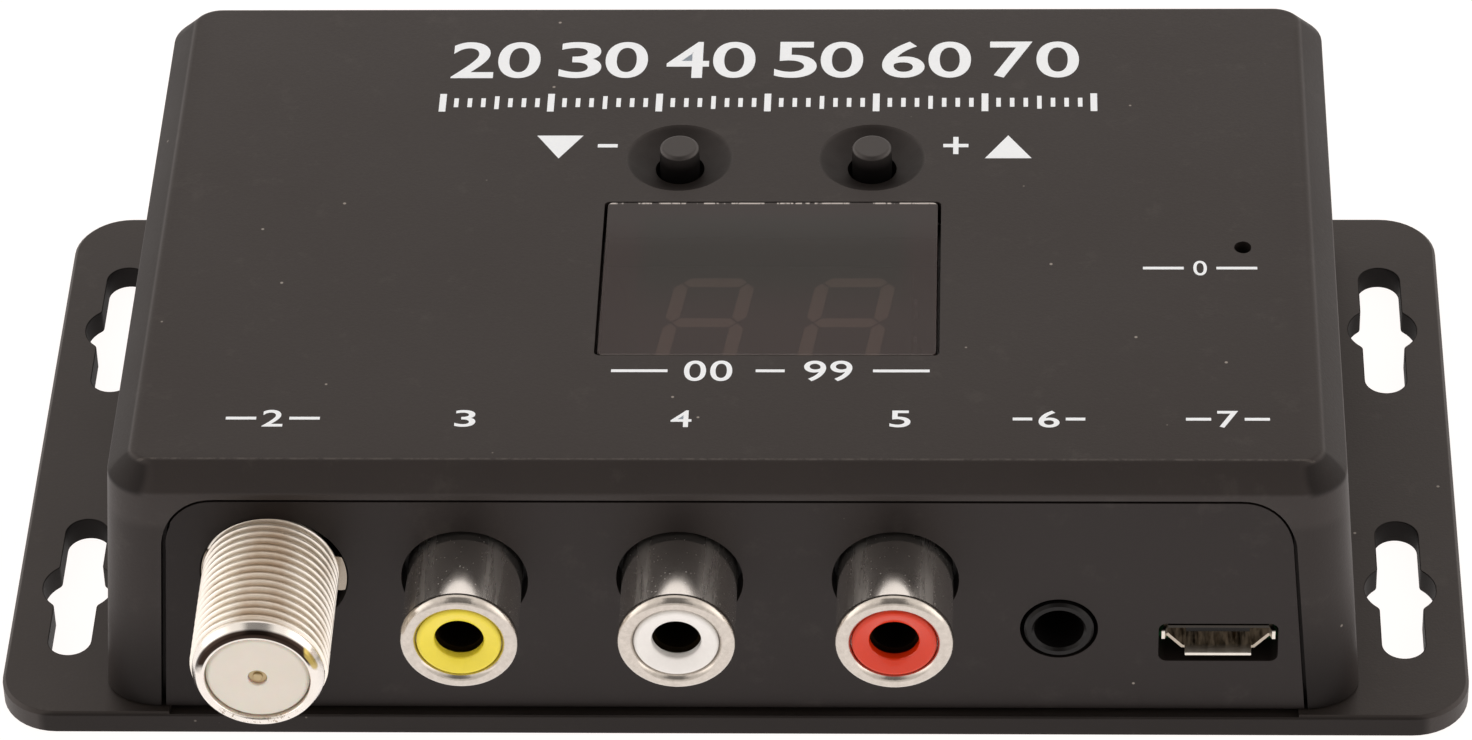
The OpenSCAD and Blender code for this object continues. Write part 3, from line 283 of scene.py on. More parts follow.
def smoothed(mesh):
    """Merges a copied mesh's loose triangles and shades it smooth over its soft edges"""
    shape = bmesh.new()
    shape.from_mesh(mesh)
    bmesh.ops.remove_doubles(shape, verts=shape.verts, dist=weld_reach * mm)
    bmesh.ops.dissolve_limit(
        shape, angle_limit=math.radians(flat_angle), verts=shape.verts, edges=shape.edges
    )
    for face in shape.faces:
        face.smooth = True
    for edge in shape.edges:
        edge.smooth = len(edge.link_faces) == 2 and edge.calc_face_angle(0) < math.radians(edge_angle)
    shape.to_mesh(mesh)
    shape.free()


def applied(piece):
    """The piece with the result of its modifiers as its mesh"""
    bpy.context.view_layer.update()
    shaped = bpy.data.meshes.new_from_object(piece.evaluated_get(bpy.context.evaluated_depsgraph_get()))
    piece.modifiers.clear()
    piece.data = shaped
    return piece


def settle(piece, material, body="case"):
    """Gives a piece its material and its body"""
    piece.data.materials.clear()
    piece.data.materials.append(material)
    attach(piece, body)
    return piece


def new_piece(name, mesh):
    """A mesh or a text curve as an object of the scene"""
    piece = bpy.data.objects.new(name, mesh)
    bpy.context.scene.collection.objects.link(piece)
    return piece


def dressed(node, material, edge=0.1 * mm, body="case"):
    """A copy of a CAD piece with softened edges, shown in its place"""
    mesh = nodes[node].data.copy()
    mesh.name = node + "_dressed"
    smoothed(mesh)
    piece = new_piece(node + "_dressed", mesh)
    if edge:
        bevel = piece.modifiers.new("edge", "BEVEL")
        bevel.width = edge
        bevel.segments = 2
        bevel.limit_method = "ANGLE"
        bevel.angle_limit = math.radians(edge_angle)
        bevel.harden_normals = True
        applied(piece)
    settle(piece, material, body)
    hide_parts(node)
    return piece


def finished(material, *names):
    """Gives CAD pieces that stay as they are their material"""
    for name in names:
        for slot in nodes[name].material_slots:
            slot.material = material


slot_x, slot_y, slot_reach, slot_r, eye_r = 49.5, 15.2, 6.05, 1.6, 2.65
plate_front = -29.25
front_slots_shade, rear_slots_more, plate_front_shade = 0.6, 0.2, 0.55


def within(reach, radius):
    """1 up to that radius in millimetres and 0 beyond it"""
    return 1 - reach.rise((radius + 0.03) * mm, (radius + 0.1) * mm)


def plate_shade(finish):
    """Painted shade inside the ears' slots, most of all the rear ones, and on the plate's front edge"""
    across, along, _ = finish.split(finish.place)
    aside = abs(across) - slot_x * mm
    from_eye = abs(along) - slot_y * mm
    from_line = (abs(from_eye) - slot_reach * mm).at_least(0.0)
    slots = within((aside ** 2 + from_line ** 2) ** 0.5, slot_r)
    eyes = within((aside ** 2 + from_eye ** 2) ** 0.5, eye_r)
    depth_shade = along.rise(-16 * mm, -8 * mm) * rear_slots_more + front_slots_shade
    front_edge = 1 - along.rise((plate_front + 0.05) * mm, (plate_front + 0.25) * mm)
    return (slots.at_least(eyes) * depth_shade).at_least(front_edge * plate_front_shade)


plate_abs = moulded(
    "plate_abs", (0.019, 0.015, 0.013), (0.3, 0.27, 0.24), 0.5, 0.25, shine=0.55, shade=plate_shade
)
dressed("base_plate", plate_abs)


# Circuit board and what is soldered to it
# A green glass-fibre board with its small parts. It rests on the plate's posts and only shows inside the
# case. The copper tracks are a shade lighter under the lacquer.
lacquer = Finish("board_lacquer")
tracks = lacquer.noise(1.6 * mm, 1, 0.3, lacquer.stretched((1, 0.25, 1))).rise(0.5, 0.53)
green = lacquer.mix(tracks, (0.01, 0.09, 0.035), (0.025, 0.16, 0.06))
finished(lacquer.surface(tracks, 0.03 * mm, Base_Color=green, Roughness=0.32), "circuit_board")


def bright_metal(name, colour, roughness, size=0.6 * mm):
    """Metal with cloudy differences of that size in its tone and gloss"""
    finish = Finish(name)
    cloud = finish.noise(size, 4, 0.6)
    tone = finish.mix(cloud, tinted(colour, 0.86), colour)
    return finish.surface(
        cloud, 0.004 * mm, Base_Color=tone, Metallic=1.0, Roughness=roughness + 0.2 * (cloud - 0.5)
    )


def plain_plastic(name, colour, roughness, grain=0.004 * mm, spread=0.12):
    """Plastic with small cloudy differences in its tone and gloss"""
    finish = Finish(name)
    cloud = finish.noise(0.5 * mm, 3, 0.6)
    tone = finish.mix(cloud, tinted(colour, 1 - spread), tinted(colour, 1 + spread))
    return finish.surface(cloud, grain, Base_Color=tone, Roughness=roughness + 0.15 * (cloud - 0.5))


tinned = bright_metal("tinned_steel_finish", (0.7, 0.69, 0.66), 0.3)
chip_black = plain_plastic("chip_black", (0.02, 0.02, 0.02), 0.55)
ferrite = plain_plastic("ferrite_grey", (0.06, 0.06, 0.065), 0.6)
ceramic = plain_plastic("ceramic_tan", (0.42, 0.3, 0.18), 0.5)
finished(chip_black, "microcontroller", "modulator_chip", "voltage_regulator", "chip_resistors")
finished(tinned, "crystal", "electrolytic_capacitors")
finished(ferrite, "storage_inductor")
finished(ceramic, "chip_capacitors")


# Shield can
# A drawn can of zinc-plated steel with a pushed-on lid. It screens the modulator and carries the aerial
# connector. Its tabs are soldered through the board.
zinc = bright_metal("zinc_plate", (0.6, 0.6, 0.58), 0.38, 2 * mm)
finished(zinc, "rf_shield_can", "rf_shield_lid")


# Aerial connector
# A screw-on socket turned from brass and nickel-plated: a hexagonal shoulder, a threaded barrel with a
# painted brownish reflection along its top, and a round rim, chipped low down and with a painted dark
# reflection on its upper chamfer, about a milky plastic insulator. Its back is staked into the shield can,
# and two lugs centre it.
panel_face = -28.5
turned_edge_angle = 38


def turned(name, outline, axis_x, axis_z, steps=96, radius_at=None):
    """A piece turned round an axis along Y. Its outline gives (reach out of the panel's face, radius)."""
    shape = bmesh.new()
    rings = []
    for reach, radius in outline:
        ring = []
        for step in range(steps):
            angle = 2 * math.pi * step / steps
            r = radius_at(angle, reach, radius) if radius_at else radius
            place = (axis_x + r * math.cos(angle), panel_face - reach, axis_z + r * math.sin(angle))
            ring.append(shape.verts.new(Vector(place) * mm))
        rings.append(ring)
    for ring, following in zip(rings, rings[1:] + rings[:1]):
        for step in range(steps):
            after = (step + 1) % steps
            shape.faces.new((ring[step], ring[after], following[after], following[step]))
    bmesh.ops.recalc_face_normals(shape, faces=shape.faces)
    for face in shape.faces:
        face.smooth = True
    for edge in shape.edges:
        edge.smooth = edge.calc_face_angle(0) < math.radians(turned_edge_angle)
    mesh = bpy.data.meshes.new(name)
    shape.to_mesh(mesh)
    shape.free()
    return new_piece(name, mesh)


def rounded(outline, corner, radius, steps=4):
    """Replaces a corner of an outline by an arc of that radius"""
    before, vertex, after = [Vector(outline[(corner + step) % len(outline)]) for step in (-1, 0, 1)]
    to_before = (before - vertex).normalized()
    to_after = (after - vertex).normalized()
    half = to_before.angle(to_after) / 2
    centre = vertex + (to_before + to_after).normalized() * (radius / math.sin(half))
    start = vertex + to_before * (radius / math.tan(half)) - centre
    end = vertex + to_after * (radius / math.tan(half)) - centre
    arc = []
    for step in range(steps + 1):
        spoke = start.lerp(end, step / steps).normalized() * radius
        arc.append(tuple(centre + spoke))
    return outline[:corner] + arc + outline[corner + 1:]


aerial_x, aerial_z = -32.9, 15.35
thread_r, thread_depth, thread_pitch = 4.7625, 0.26, 0.75
thread_start, thread_end, barrel_end, front_reach = -0.75, 10.5, 10.8, 11.7
bore_r, lip_r = 3.7625, 4.3125
core_r = thread_r - thread_depth
staked_end, can_inside, can_outside = -9.9, -9.3, -8.8
staked_r, can_hole_r, crest_r = 4.7, 4.2, 4.7
crown_x, crown_h = aerial_x + 0.3, 3


def from_aerial_axis(finish):
    """Where a point lies across and upright, and how far it is from the aerial connector's axis"""
    across, _, upright = finish.split(finish.place)
    return across, upright, ((across - aerial_x * mm) ** 2 + (upright - aerial_z * mm) ** 2) ** 0.5


nickel = Finish("nickel_plate")
across, upright, from_axis = from_aerial_axis(nickel)
# Darker in the thread's grooves. Along the barrel's top, a painted brownish reflection: browner, less
# metallic and a little rougher there.
groove = 1 - from_axis.rise((core_r + 0.02) * mm, (thread_r - 0.06) * mm)
crown = 1 - abs(across - crown_x * mm).rise(0.9 * mm, 2.4 * mm)
crown = crown * upright.rise(aerial_z * mm, (aerial_z + crown_h) * mm)
mottle = nickel.noise(0.9 * mm, 5, 0.65)
stain = nickel.noise(3 * mm, 3, 0.6).rise(0.45, 0.7)
painted_reflection = crown * (0.35 + 0.65 * nickel.noise(0.7 * mm, 4, 0.7))
plate_tone = nickel.mix(stain * 0.25 + painted_reflection * 0.75, (1, 0.95, 0.87), (0.66, 0.52, 0.38))
nickel_plate = nickel.surface(
    mottle, 0.004 * mm, Base_Color=nickel.mix(groove * 0.36, plate_tone, (0.3, 0.24, 0.18)),
    Metallic=1 - 0.45 * crown, Roughness=0.3 + 0.14 * mottle + 0.08 * painted_reflection,
)

barrel = [
    (staked_end, bore_r), (staked_end, staked_r), (can_inside, staked_r), (can_inside, can_hole_r),
    (can_outside, can_hole_r), (can_outside, core_r), (thread_end - 0.1, core_r), (thread_end, crest_r),
    (thread_end, bore_r),
]
aerial_barrel = turned("aerial_connector_barrel", barrel, aerial_x, aerial_z, 128)
settle(aerial_barrel, nickel_plate)
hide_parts("aerial_connector_shell")

rim_wear_and_reflection = Finish("rim_wear_and_painted_reflection")
across, upright, from_axis = from_aerial_axis(rim_wear_and_reflection)
height = (upright - aerial_z * mm) / (lip_r * mm) + 0.5 * rim_wear_and_reflection.noise(1.5 * mm, 3) - 0.25
# A painted dark reflection on the rim's upper chamfer. The brown chips low down are wear.
painted_dark_reflection = from_axis.rise(3.95 * mm, 4.03 * mm) * (1 - from_axis.rise(4.44 * mm, 4.54 * mm))
painted_dark_reflection = painted_dark_reflection * height.rise(0.15, 0.4)
chipped = rim_wear_and_reflection.noise(0.35 * mm, 3, 0.7).rise(0.56, 0.62) * (1 - height.rise(-0.8, -0.6))
gold = from_axis.rise(4.1 * mm, 4.2 * mm) * (1 - from_axis.rise(4.45 * mm, 4.55 * mm))
gold = gold * across.rise((aerial_x + 3.4) * mm, (aerial_x + 3.6) * mm) * height.rise(0.15, 0.25)
rim_tone = rim_wear_and_reflection.mix(rim_wear_and_reflection.noise(1.2 * mm, 3), (0.8, 0.76, 0.7), (0.95, 0.91, 0.86))
rim_tone = rim_wear_and_reflection.mix(painted_dark_reflection, rim_tone, (0.035, 0.023, 0.018))
rim_tone = rim_wear_and_reflection.mix(chipped * 0.7, rim_tone, (0.3, 0.22, 0.15))
rim_tone = rim_wear_and_reflection.mix(gold * 0.8, rim_tone, (0.55, 0.42, 0.12))
rim_wear_and_painted_reflection = rim_wear_and_reflection.surface(
    rim_wear_and_reflection.noise(0.8 * mm, 3), 0.004 * mm, Base_Color=rim_tone, Metallic=1.0,
    Roughness=0.14 + 0.12 * rim_wear_and_reflection.noise(1 * mm, 3),
)

rim_foot, rim_foot_r, rim_shoulder_r = thread_end - 0.02, 4.72, 4.74
bore_blend, lip_blend, shoulder_blend = 0.16, 0.34, 0.3
rim = [
    (rim_foot, bore_r), (rim_foot, rim_foot_r), (barrel_end, rim_shoulder_r), (front_reach, lip_r),
    (front_reach, bore_r),
]
rim = rounded(rim, 4, bore_blend)
rim = rounded(rim, 3, lip_blend, 6)
rim = rounded(rim, 2, shoulder_blend, 6)
aerial_rim = turned("aerial_connector_rim", rim, aerial_x, aerial_z, 128)
settle(aerial_rim, rim_wear_and_painted_reflection)

hex_back, hex_front = -8.9, -2.6
flat_r = thread_r + 0.05
corner_r = flat_r / math.cos(math.radians(30))
corner_cut = 0.4
sunk_r = core_r - 0.1
hexagon_turn = math.radians(14)


def hexagon(angle, reach, radius):
    """Radius of the hexagonal shoulder, whose corners are turned down towards its front"""
    around = (angle + hexagon_turn) % math.radians(60) - math.radians(30)
    across_flats = flat_r / math.cos(around)
    return min(across_flats, corner_r - corner_cut + hex_front - reach) if radius > core_r else radius


shoulder = [(hex_back, sunk_r), (hex_back, corner_r)]
shoulder += [(hex_front - corner_cut * step / 4, corner_r) for step in (4, 3, 2, 1, 0)]
shoulder += [(hex_front, sunk_r)]
aerial_shoulder = turned("aerial_connector_shoulder", shoulder, aerial_x, aerial_z, 120, hexagon)
settle(aerial_shoulder, nickel_plate)

lug_r, lug_half_w, lug_turn = 5.27, 1.6, math.radians(-3.5)
lug_face, lug_edge = -0.05, 0.06
hole_x, hole_z = 0.18, -0.42


def lugged(angle, reach, radius):
    """Radius of the ring with two lugs, which centre the connector in the panel's hole"""
    if radius < core_r:
        return radius
    spoke = Vector((math.cos(angle), math.sin(angle)))
    along = spoke.x * hole_x + spoke.y * hole_z
    to_hole = along + math.sqrt(along ** 2 - hole_x ** 2 - hole_z ** 2 + lug_r ** 2)
    to_side = lug_half_w / max(abs(math.sin(angle - lug_turn)), 0.01)
    return max(core_r, min(to_hole, to_side))


lugs = [
    (hex_front, sunk_r), (hex_front, lug_r), (lug_face - lug_edge, lug_r), (lug_face, lug_r),
    (lug_face, sunk_r),
]
aerial_lugs = turned("aerial_connector_lugs", lugs, aerial_x, aerial_z, 240, lugged)
lug_nickel = bright_metal("lug_nickel", (0.4, 0.35, 0.29), 0.3)
settle(aerial_lugs, lug_nickel)


def geometry_tree(name, sizes):
    """A geometry tree with named number inputs, and the sockets that give them inside it"""
    group = bpy.data.node_groups.new(name, "GeometryNodeTree")
    for size, start in sizes.items():
        made = group.interface.new_socket(size, in_out="INPUT", socket_type="NodeSocketFloat")
        made.default_value = start
    group.interface.new_socket("Geometry", in_out="OUTPUT", socket_type="NodeSocketGeometry")
    tree = Tree(group)
    inputs = tree.node("NodeGroupInput").link.node.outputs
    return group, tree, {size: Socket(tree, inputs[size]) for size in sizes}


def grown(name, group, tree, geometry, sizes, material):
    """Ends a geometry tree, runs it with those sizes, and returns its plain mesh as a piece"""
    whole = tree.node("GeometryNodeRealizeInstances", values={0: geometry})
    covered = tree.node("GeometryNodeSetMaterial", values={0: whole, "Material": material})
    tree.node("NodeGroupOutput", values={0: covered})
    piece = new_piece(name, bpy.data.meshes.new(name))
    modifier = piece.modifiers.new(name, "NODES")
    modifier.node_group = group
    for item in group.interface.items_tree:
        if item.in_out == "INPUT":
            modifier[item.identifier] = float(sizes[item.name])
    return applied(piece)


thread_sizes = {
    "Turns": (thread_end - thread_start) / thread_pitch,
    "Middle radius": (thread_r - thread_depth / 2 - 0.03) * mm,
    "Length": (thread_end - thread_start) * mm,
    "Ridge height": (thread_depth + 0.06) * mm,
    "Foot width": 0.73 * mm,
    "Crest width": 0.53 * mm,
    "Crest rounding": 0.06 * mm,
}
group, tree, size = geometry_tree("thread", thread_sizes)
helix = tree.node("GeometryNodeCurveSpiral", values={
    "Resolution": 72, "Rotations": size["Turns"], "Start Radius": size["Middle radius"],
    "End Radius": size["Middle radius"], "Height": size["Length"],
})
helix = tree.node("GeometryNodeSetCurveNormal", {"mode": "Z_UP"}, {0: helix})
ridge = tree.node("GeometryNodeCurvePrimitiveQuadrilateral", {"mode": "TRAPEZOID"}, {
    "Height": size["Ridge height"], "Bottom Width": size["Foot width"],
    "Top Width": size["Crest width"], "Offset": 0.0,
})
ridge = tree.node("GeometryNodeFilletCurve", values={0: ridge, "Radius": size["Crest rounding"]})
swept = tree.node("GeometryNodeCurveToMesh", values={
    "Curve": helix, "Profile Curve": ridge, "Fill Caps": True,
})
thread = grown("aerial_connector_thread", group, tree, swept, thread_sizes, nickel_plate)
thread_foot = Vector((aerial_x, panel_face - thread_start, aerial_z)) * mm
thread.data.transform(Matrix.Translation(thread_foot) @ Matrix.Rotation(math.radians(90), 4, "X"))
settle(thread, nickel_plate)

milky = Finish("milky_insulator")
cloud = milky.noise(2.5 * mm, 3)
milky_plastic = milky.surface(
    cloud, 0.01 * mm, Base_Color=milky.mix(cloud, (0.76, 0.69, 0.6), (0.84, 0.79, 0.71)), Roughness=0.3,
    Subsurface_Weight=0.3, Subsurface_Scale=1.5 * mm,
)
brass = bright_metal("brass_contact", (0.62, 0.46, 0.2), 0.35)
dressed("aerial_connector_insulator", milky_plastic, 0.12 * mm)
contact_gold = bright_metal("contact_gold", (0.55, 0.44, 0.26), 0.5)
finished(contact_gold, "aerial_connector_contact")
leaf_back, leaf_edge_back, leaf_front = 11.1, 11.38, 11.43
leaf_r, leaf_front_r, axis_r = 0.345, 0.29, 0.001
leaves = [
    (leaf_back, axis_r), (leaf_back, leaf_r), (leaf_edge_back, leaf_r), (leaf_front, leaf_front_r),
    (leaf_front, axis_r),
]
contact_leaves = turned("aerial_connector_contact_leaves", leaves, aerial_x, aerial_z, 32)
settle(contact_leaves, contact_gold)


# Phono sockets
# Three like sockets with a drawn and nickel-plated sleeve that is rolled over at its mouth, a coloured insert
# and a contact tube inside. Each stands on the board in a black housing and comes out through the panel.
phono_places = {"video": -18.93, "left_audio": -3.38, "right_audio": 12.17}
phono_pitch = 15.55
phono_z, phono_reach = 14.55, 7.1
rim_r, neck_r, sleeve_inner_r, sleeve_back = 4.28, 4.18, 3.08, -5.4
roll_r = (rim_r - sleeve_inner_r) / 2
roll_start = phono_reach - roll_r
roll_steps, roll_gap = 28, 0.005
insert_front, dish_foot, mouth_foot = phono_reach - 0.1, phono_reach - 0.6, phono_reach - 1.2
insert_r, mouth_r, tube_r, insert_back = 3.06, 1.7655, 2.25, -6.6
colours = {
    "video": ("yellow_plastic", (0.95, 0.79, 0.06)),
    "left_audio": ("white_plastic", (0.93, 0.91, 0.88)),
    "right_audio": ("red_plastic", (0.72, 0.036, 0.004)),
}
sleeve = [
    (sleeve_back, sleeve_inner_r), (sleeve_back, neck_r), (roll_start, neck_r), (roll_start, sleeve_inner_r),
]
rolled = []
for step in range(roll_steps):
    around = 2 * math.pi * step / roll_steps
    rolled.append((
        roll_start + roll_r * math.sin(around),
        sleeve_inner_r + roll_r + (roll_r - roll_gap) * math.cos(around),
    ))
insert = [
    (insert_back, tube_r), (insert_back, insert_r), (insert_front, insert_r), (dish_foot, mouth_r),
    (mouth_foot, mouth_r), (mouth_foot, tube_r),
]
mouth_blend, face_blend = 0.2, 0.25
insert = rounded(insert, 3, mouth_blend)
insert = rounded(insert, 2, face_blend)
satin = Finish("satin_nickel")
mottle = satin.noise(0.5 * mm, 4, 0.6)
satin_rim = satin.surface(
    mottle, 0.012 * mm, Base_Color=satin.mix(mottle, (0.5, 0.455, 0.41), (0.76, 0.71, 0.645)), Metallic=1.0,
    Roughness=0.12 + 0.16 * mottle,
)
drawn = Finish("drawn_nickel")
haze = drawn.noise(1.2 * mm, 3, 0.6, drawn.stretched((1, 0.2, 1)))
grit = drawn.specks(0.3 * mm, 0.06 * mm, 0.35)
across, _, _ = drawn.split(drawn.place)
from_first = across + (1.5 * phono_pitch - phono_places["left_audio"]) * mm
off_axis = abs(from_first % (phono_pitch * mm) - phono_pitch / 2 * mm)
scratches = drawn.noise(0.5 * mm, 3, 0.6, drawn.stretched((1, 0.1, 1)))
streak = (1 - abs(off_axis - 2.5 * mm).rise(0.1 * mm, 1.4 * mm)) * scratches
drawn_nickel = drawn.surface(
    haze, 0.008 * mm, Base_Color=drawn.mix(grit * 0.5, (0.88, 0.84, 0.8), (0.4, 0.36, 0.33)), Metallic=0.965,
    Roughness=0.06 + 0.14 * haze + 0.3 * grit + 0.34 * streak,
)
housing_black = plain_plastic("housing_black", (0.014, 0.013, 0.013), 0.3)
# The contact tubes are coloured near black: painted shade deep in the sockets.
painted_shade_brass = bright_metal("painted_shade_brass", (0.035, 0.024, 0.012), 0.5)
for place, x in phono_places.items():
    piece = turned(place + "_sleeve", sleeve, x, phono_z)
    settle(piece, drawn_nickel)
    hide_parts(place + "_socket_sleeve")
    settle(turned(place + "_rim", rolled, x, phono_z), satin_rim)
    slot, colour = colours[place]
    piece = turned(place + "_insert", insert, x, phono_z)
    settle(piece, plain_plastic(place + "_insert_colour", colour, 0.12, 0.002 * mm, 0.05))
    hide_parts(place + "_socket_insert")
    finished(painted_shade_brass, place + "_socket_contact")
    finished(housing_black, place + "_socket_housing")


# Remote eye jack
# A moulded black 3.5 mm jack with a round nose in the panel's hole. Its terminals are soldered to the board,
# and its plastic is smoother and blacker than the panel's.
jack = Finish("jack_black")
cloud = jack.noise(0.5 * mm, 3, 0.6)
jack_black = jack.surface(
    cloud, 0.004 * mm, Base_Color=jack.mix(cloud, (0.005, 0.0045, 0.0045), (0.007, 0.006, 0.006)),
    Roughness=0.2 + 0.1 * cloud, Specular_IOR_Level=0.22,
)
dressed("remote_jack_body", jack_black, 0.06 * mm)
finished(tinned, "remote_jack_terminals")


# Power socket
# A small USB socket folded from thin nickel-plated steel, with flared lips, a black tongue and gilt contacts.
# Its tabs are soldered to the board. Inside, it is painted darker as shade, with streaks, and it has a faint
# painted warm glow. Its upper part is painted near black.
steel = Finish("power_socket_steel")
_, along, up = steel.split(steel.place)
# Painted shade inside the socket, a near black upper part, and a faint painted glow inside
inside = along.rise((panel_face + 0.3) * mm, (panel_face + 0.8) * mm)
upper_lip = up.rise(9.6 * mm, 9.75 * mm)
streaks = steel.noise(0.4 * mm, 3, 0.7, steel.stretched((1, 0.2, 0.2)))
tone = steel.mix(streaks, (0.75, 0.7, 0.62), (0.9, 0.86, 0.8))
tone = steel.mix(inside, tone, (0.32, 0.26, 0.19))
tone = steel.mix(upper_lip, tone, (0.05, 0.045, 0.04))
glow = steel.mix(inside * streaks.rise(0.3, 0.7), (0, 0, 0), (0.05, 0.038, 0.026))
socket_steel = steel.surface(
    streaks, 0.004 * mm, Base_Color=tone, Metallic=1.0, Roughness=0.25 + 0.2 * streaks,
    Emission_Color=glow, Emission_Strength=1.0,
)
dressed("power_socket_shell", socket_steel, 0.03 * mm)
finished(jack_black, "power_socket_tongue")
finished(brass, "power_socket_contacts")


# Channel switches and buttons
# Two tact switches: a base with a steel plate riveted on it and a snap dome under a long black plunger.
# The plungers come up through the cover's collars into the dished wells.
button_places = ((-4.45, 8.2), (10.05, 8.2))
plunger_r, plunger_top = 1.5, 25.6


def outside_rings(finish, start, end):
    """0 inside a circle round each of the two plungers and 1 outside both"""
    down_place, up_place = button_places
    return finish.ring(*down_place, start, end) * finish.ring(*up_place, start, end)


def plunger_shade(finish):
    """Painted shade down the plungers' sides"""
    _, _, up = finish.split(finish.place)
    sides = outside_rings(finish, plunger_r - 0.12, plunger_r - 0.04)
    return sides * (1 - up.rise((plunger_top - 1.4) * mm, plunger_top * mm)) * 0.95


button_black = moulded(
    "button_black", (0.03, 0.027, 0.026), (0.3, 0.28, 0.26), 0.36, 0.2, 0.004 * mm, shade=plunger_shade
)
dressed("channel_down_button", button_black, 0.12 * mm, "channel_down_button")
dressed("channel_up_button", button_black, 0.12 * mm, "channel_up_button")
for name in ("channel_down", "channel_up"):
    finished(chip_black, name + "_switch_base")
    finished(tinned, name + "_switch_plate")
    dome = dressed(name + "_switch_dome", tinned, 0)
    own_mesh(dome)
finished(tinned, "switch_terminals")


# Display
# A moulded module with two seven-bar digits and their points. It stands on milky spacers and is soldered to
# the board. Its bars are unlit, but a faint painted glow in them shows as a milky tone under the window.
module_grey = plain_plastic("display_grey", (0.09, 0.085, 0.08), 0.5)
# The bars' faint warm emission is a painted glow.
milk = Finish("digit_milk_and_painted_glow")
bloom = milk.noise(0.8 * mm, 2)
digit_milk_and_painted_glow = milk.surface(
    bloom, 0.004 * mm, Base_Color=milk.mix(bloom, (0.6, 0.52, 0.46), (0.75, 0.66, 0.58)), Roughness=0.5,
    Emission_Color=milk.mix(bloom, (0.24, 0.135, 0.1), (0.19, 0.12, 0.085)), Emission_Strength=1.0,
)
finished(module_grey, "display_module")
finished(digit_milk_and_painted_glow, "display_segments")
finished(tinned, "display_pins")
finished(milky_plastic, "display_spacers")


# Power light
# A green light emitting diode on a milky spacer, right under a pinhole in the roof. Its leads are soldered to
# the board.
lens = plain_plastic("green_lens_finish", (0.08, 0.35, 0.1), 0.2)
finished(lens, "power_led")
finished(tinned, "led_leads")
finished(milky_plastic, "led_spacer")


# Front panel
# A moulded plate with a hole for each socket. Its flange stands in a slot of the cover and a groove of the
# plate. Its sides lean with the case: they stand further apart at the foot than at the top.
panel_edge, wall_edge = 41.2, 44.5
wall_lean = {-1: 1.75, 1: 1.55}
lean_top_z, lean_h = 19.5, 18
seam_out, seam_slope, seam_foot_z, seam_top_z = 0.6, 0.08, 2, 17
arc_foot_z, arc_h = 16.5, 0.9
side_start, side_run = 39.9, 1.0
arc_start, arc_run = 37.6, 3.6
left_side, left_seam_gap = -40, 0.12


def held(value):
    """The value, held between 0 and 1"""
    return min(1, max(0, value))


def lean(piece):
    """Leans the case's side walls out towards the foot, and the panel's seams the same way"""
    for vertex in piece.data.vertices:
        place = vertex.co / mm
        far = abs(place.x)
        side = 1 if place.x > 0 else -1
        in_arc = held((place.z - arc_foot_z) / arc_h)
        start = side_start + (arc_start - side_start) * in_arc
        run = side_run + (arc_run - side_run) * in_arc
        if far > start:
            at_wall = wall_lean[side] * held((lean_top_z - place.z) / lean_h)
            at_panel = seam_out - seam_slope * (min(place.z, seam_top_z) - seam_foot_z)
            share = held((far - panel_edge) / (wall_edge - panel_edge))
            shift = at_panel + (at_wall - at_panel) * share
            vertex.co.x += side * shift * held((far - start) / run) * mm


def panel_shade(finish):
    """Painted shade low on the panel and towards its left end"""
    across, _, up = finish.split(finish.place)
    return (1 - up.rise(3 * mm, 14 * mm)) * 0.1 + (1 - across.rise(-38 * mm, -20 * mm)) * 0.3


panel_abs = moulded(
    "panel_abs", (0.009, 0.0066, 0.0062), (0.28, 0.25, 0.22), 0.46, 0.22, 0.008 * mm, 0.36, panel_shade
)
panel = dressed("front_panel", panel_abs, 0.08 * mm)
lean(panel)
for vertex in panel.data.vertices:
    if vertex.co.x < left_side * mm:
        vertex.co.x += left_seam_gap * mm


# Cover
# The shell over it all: one moulding with a bevelled roof, dished wells round the buttons, and openings for
# the panel, the window and the light. Four screws from below go into its bosses. It carries painted shade in
# its wells, on its side bevels, at its front corners and low beside the panel, and thin painted
# highlights along the roof's front edge and the right shoulder.
well_r = 4.0
roof_z, shoulder_z = 24.5, 22.6
case_front, roof_front = panel_face, -26.72
brow_x, shoulder_x = 42.85, 44.3
corner_x, corner_y = 43.1, -27.2


def cover_shade(finish):
    """Painted shade in the dished wells, on the side bevels and front corners, and low beside the panel"""
    across, along, up = finish.split(finish.place)
    in_wells = 1 - outside_rings(finish, well_r - 0.25, well_r + 0.05)
    roof = up.rise(19 * mm, 20 * mm)
    dishes = in_wells * roof * (0.2 + 0.25 * finish.noise(1.2 * mm, 3))
    bevels = abs(across).rise((brow_x - 0.1) * mm, (brow_x + 0.1) * mm)
    bevels = bevels * up.rise((shoulder_z - 0.3) * mm, shoulder_z * mm) * (0.29 + 0.09 * (across < 0))
    to_corner = ((abs(across) - corner_x * mm) ** 2 + (along - corner_y * mm) ** 2) ** 0.5
    on_bevel = up.rise((shoulder_z - 0.5) * mm, shoulder_z * mm)
    on_bevel = on_bevel * (1 - up.rise((roof_z - 0.4) * mm, (roof_z - 0.1) * mm))
    corners = 0.55 * (1 - to_corner.rise(1.4 * mm, 2.1 * mm)) * on_bevel
    in_front = 1 - along.rise((case_front + 0.1) * mm, (case_front + 2.5) * mm)
    cheeks = in_front * (0.5 * (1 - up.rise(2.5 * mm, 14 * mm)) + 0.2 * (1 - roof))
    return (corners.at_least(bevels) + dishes).at_least(cheeks)


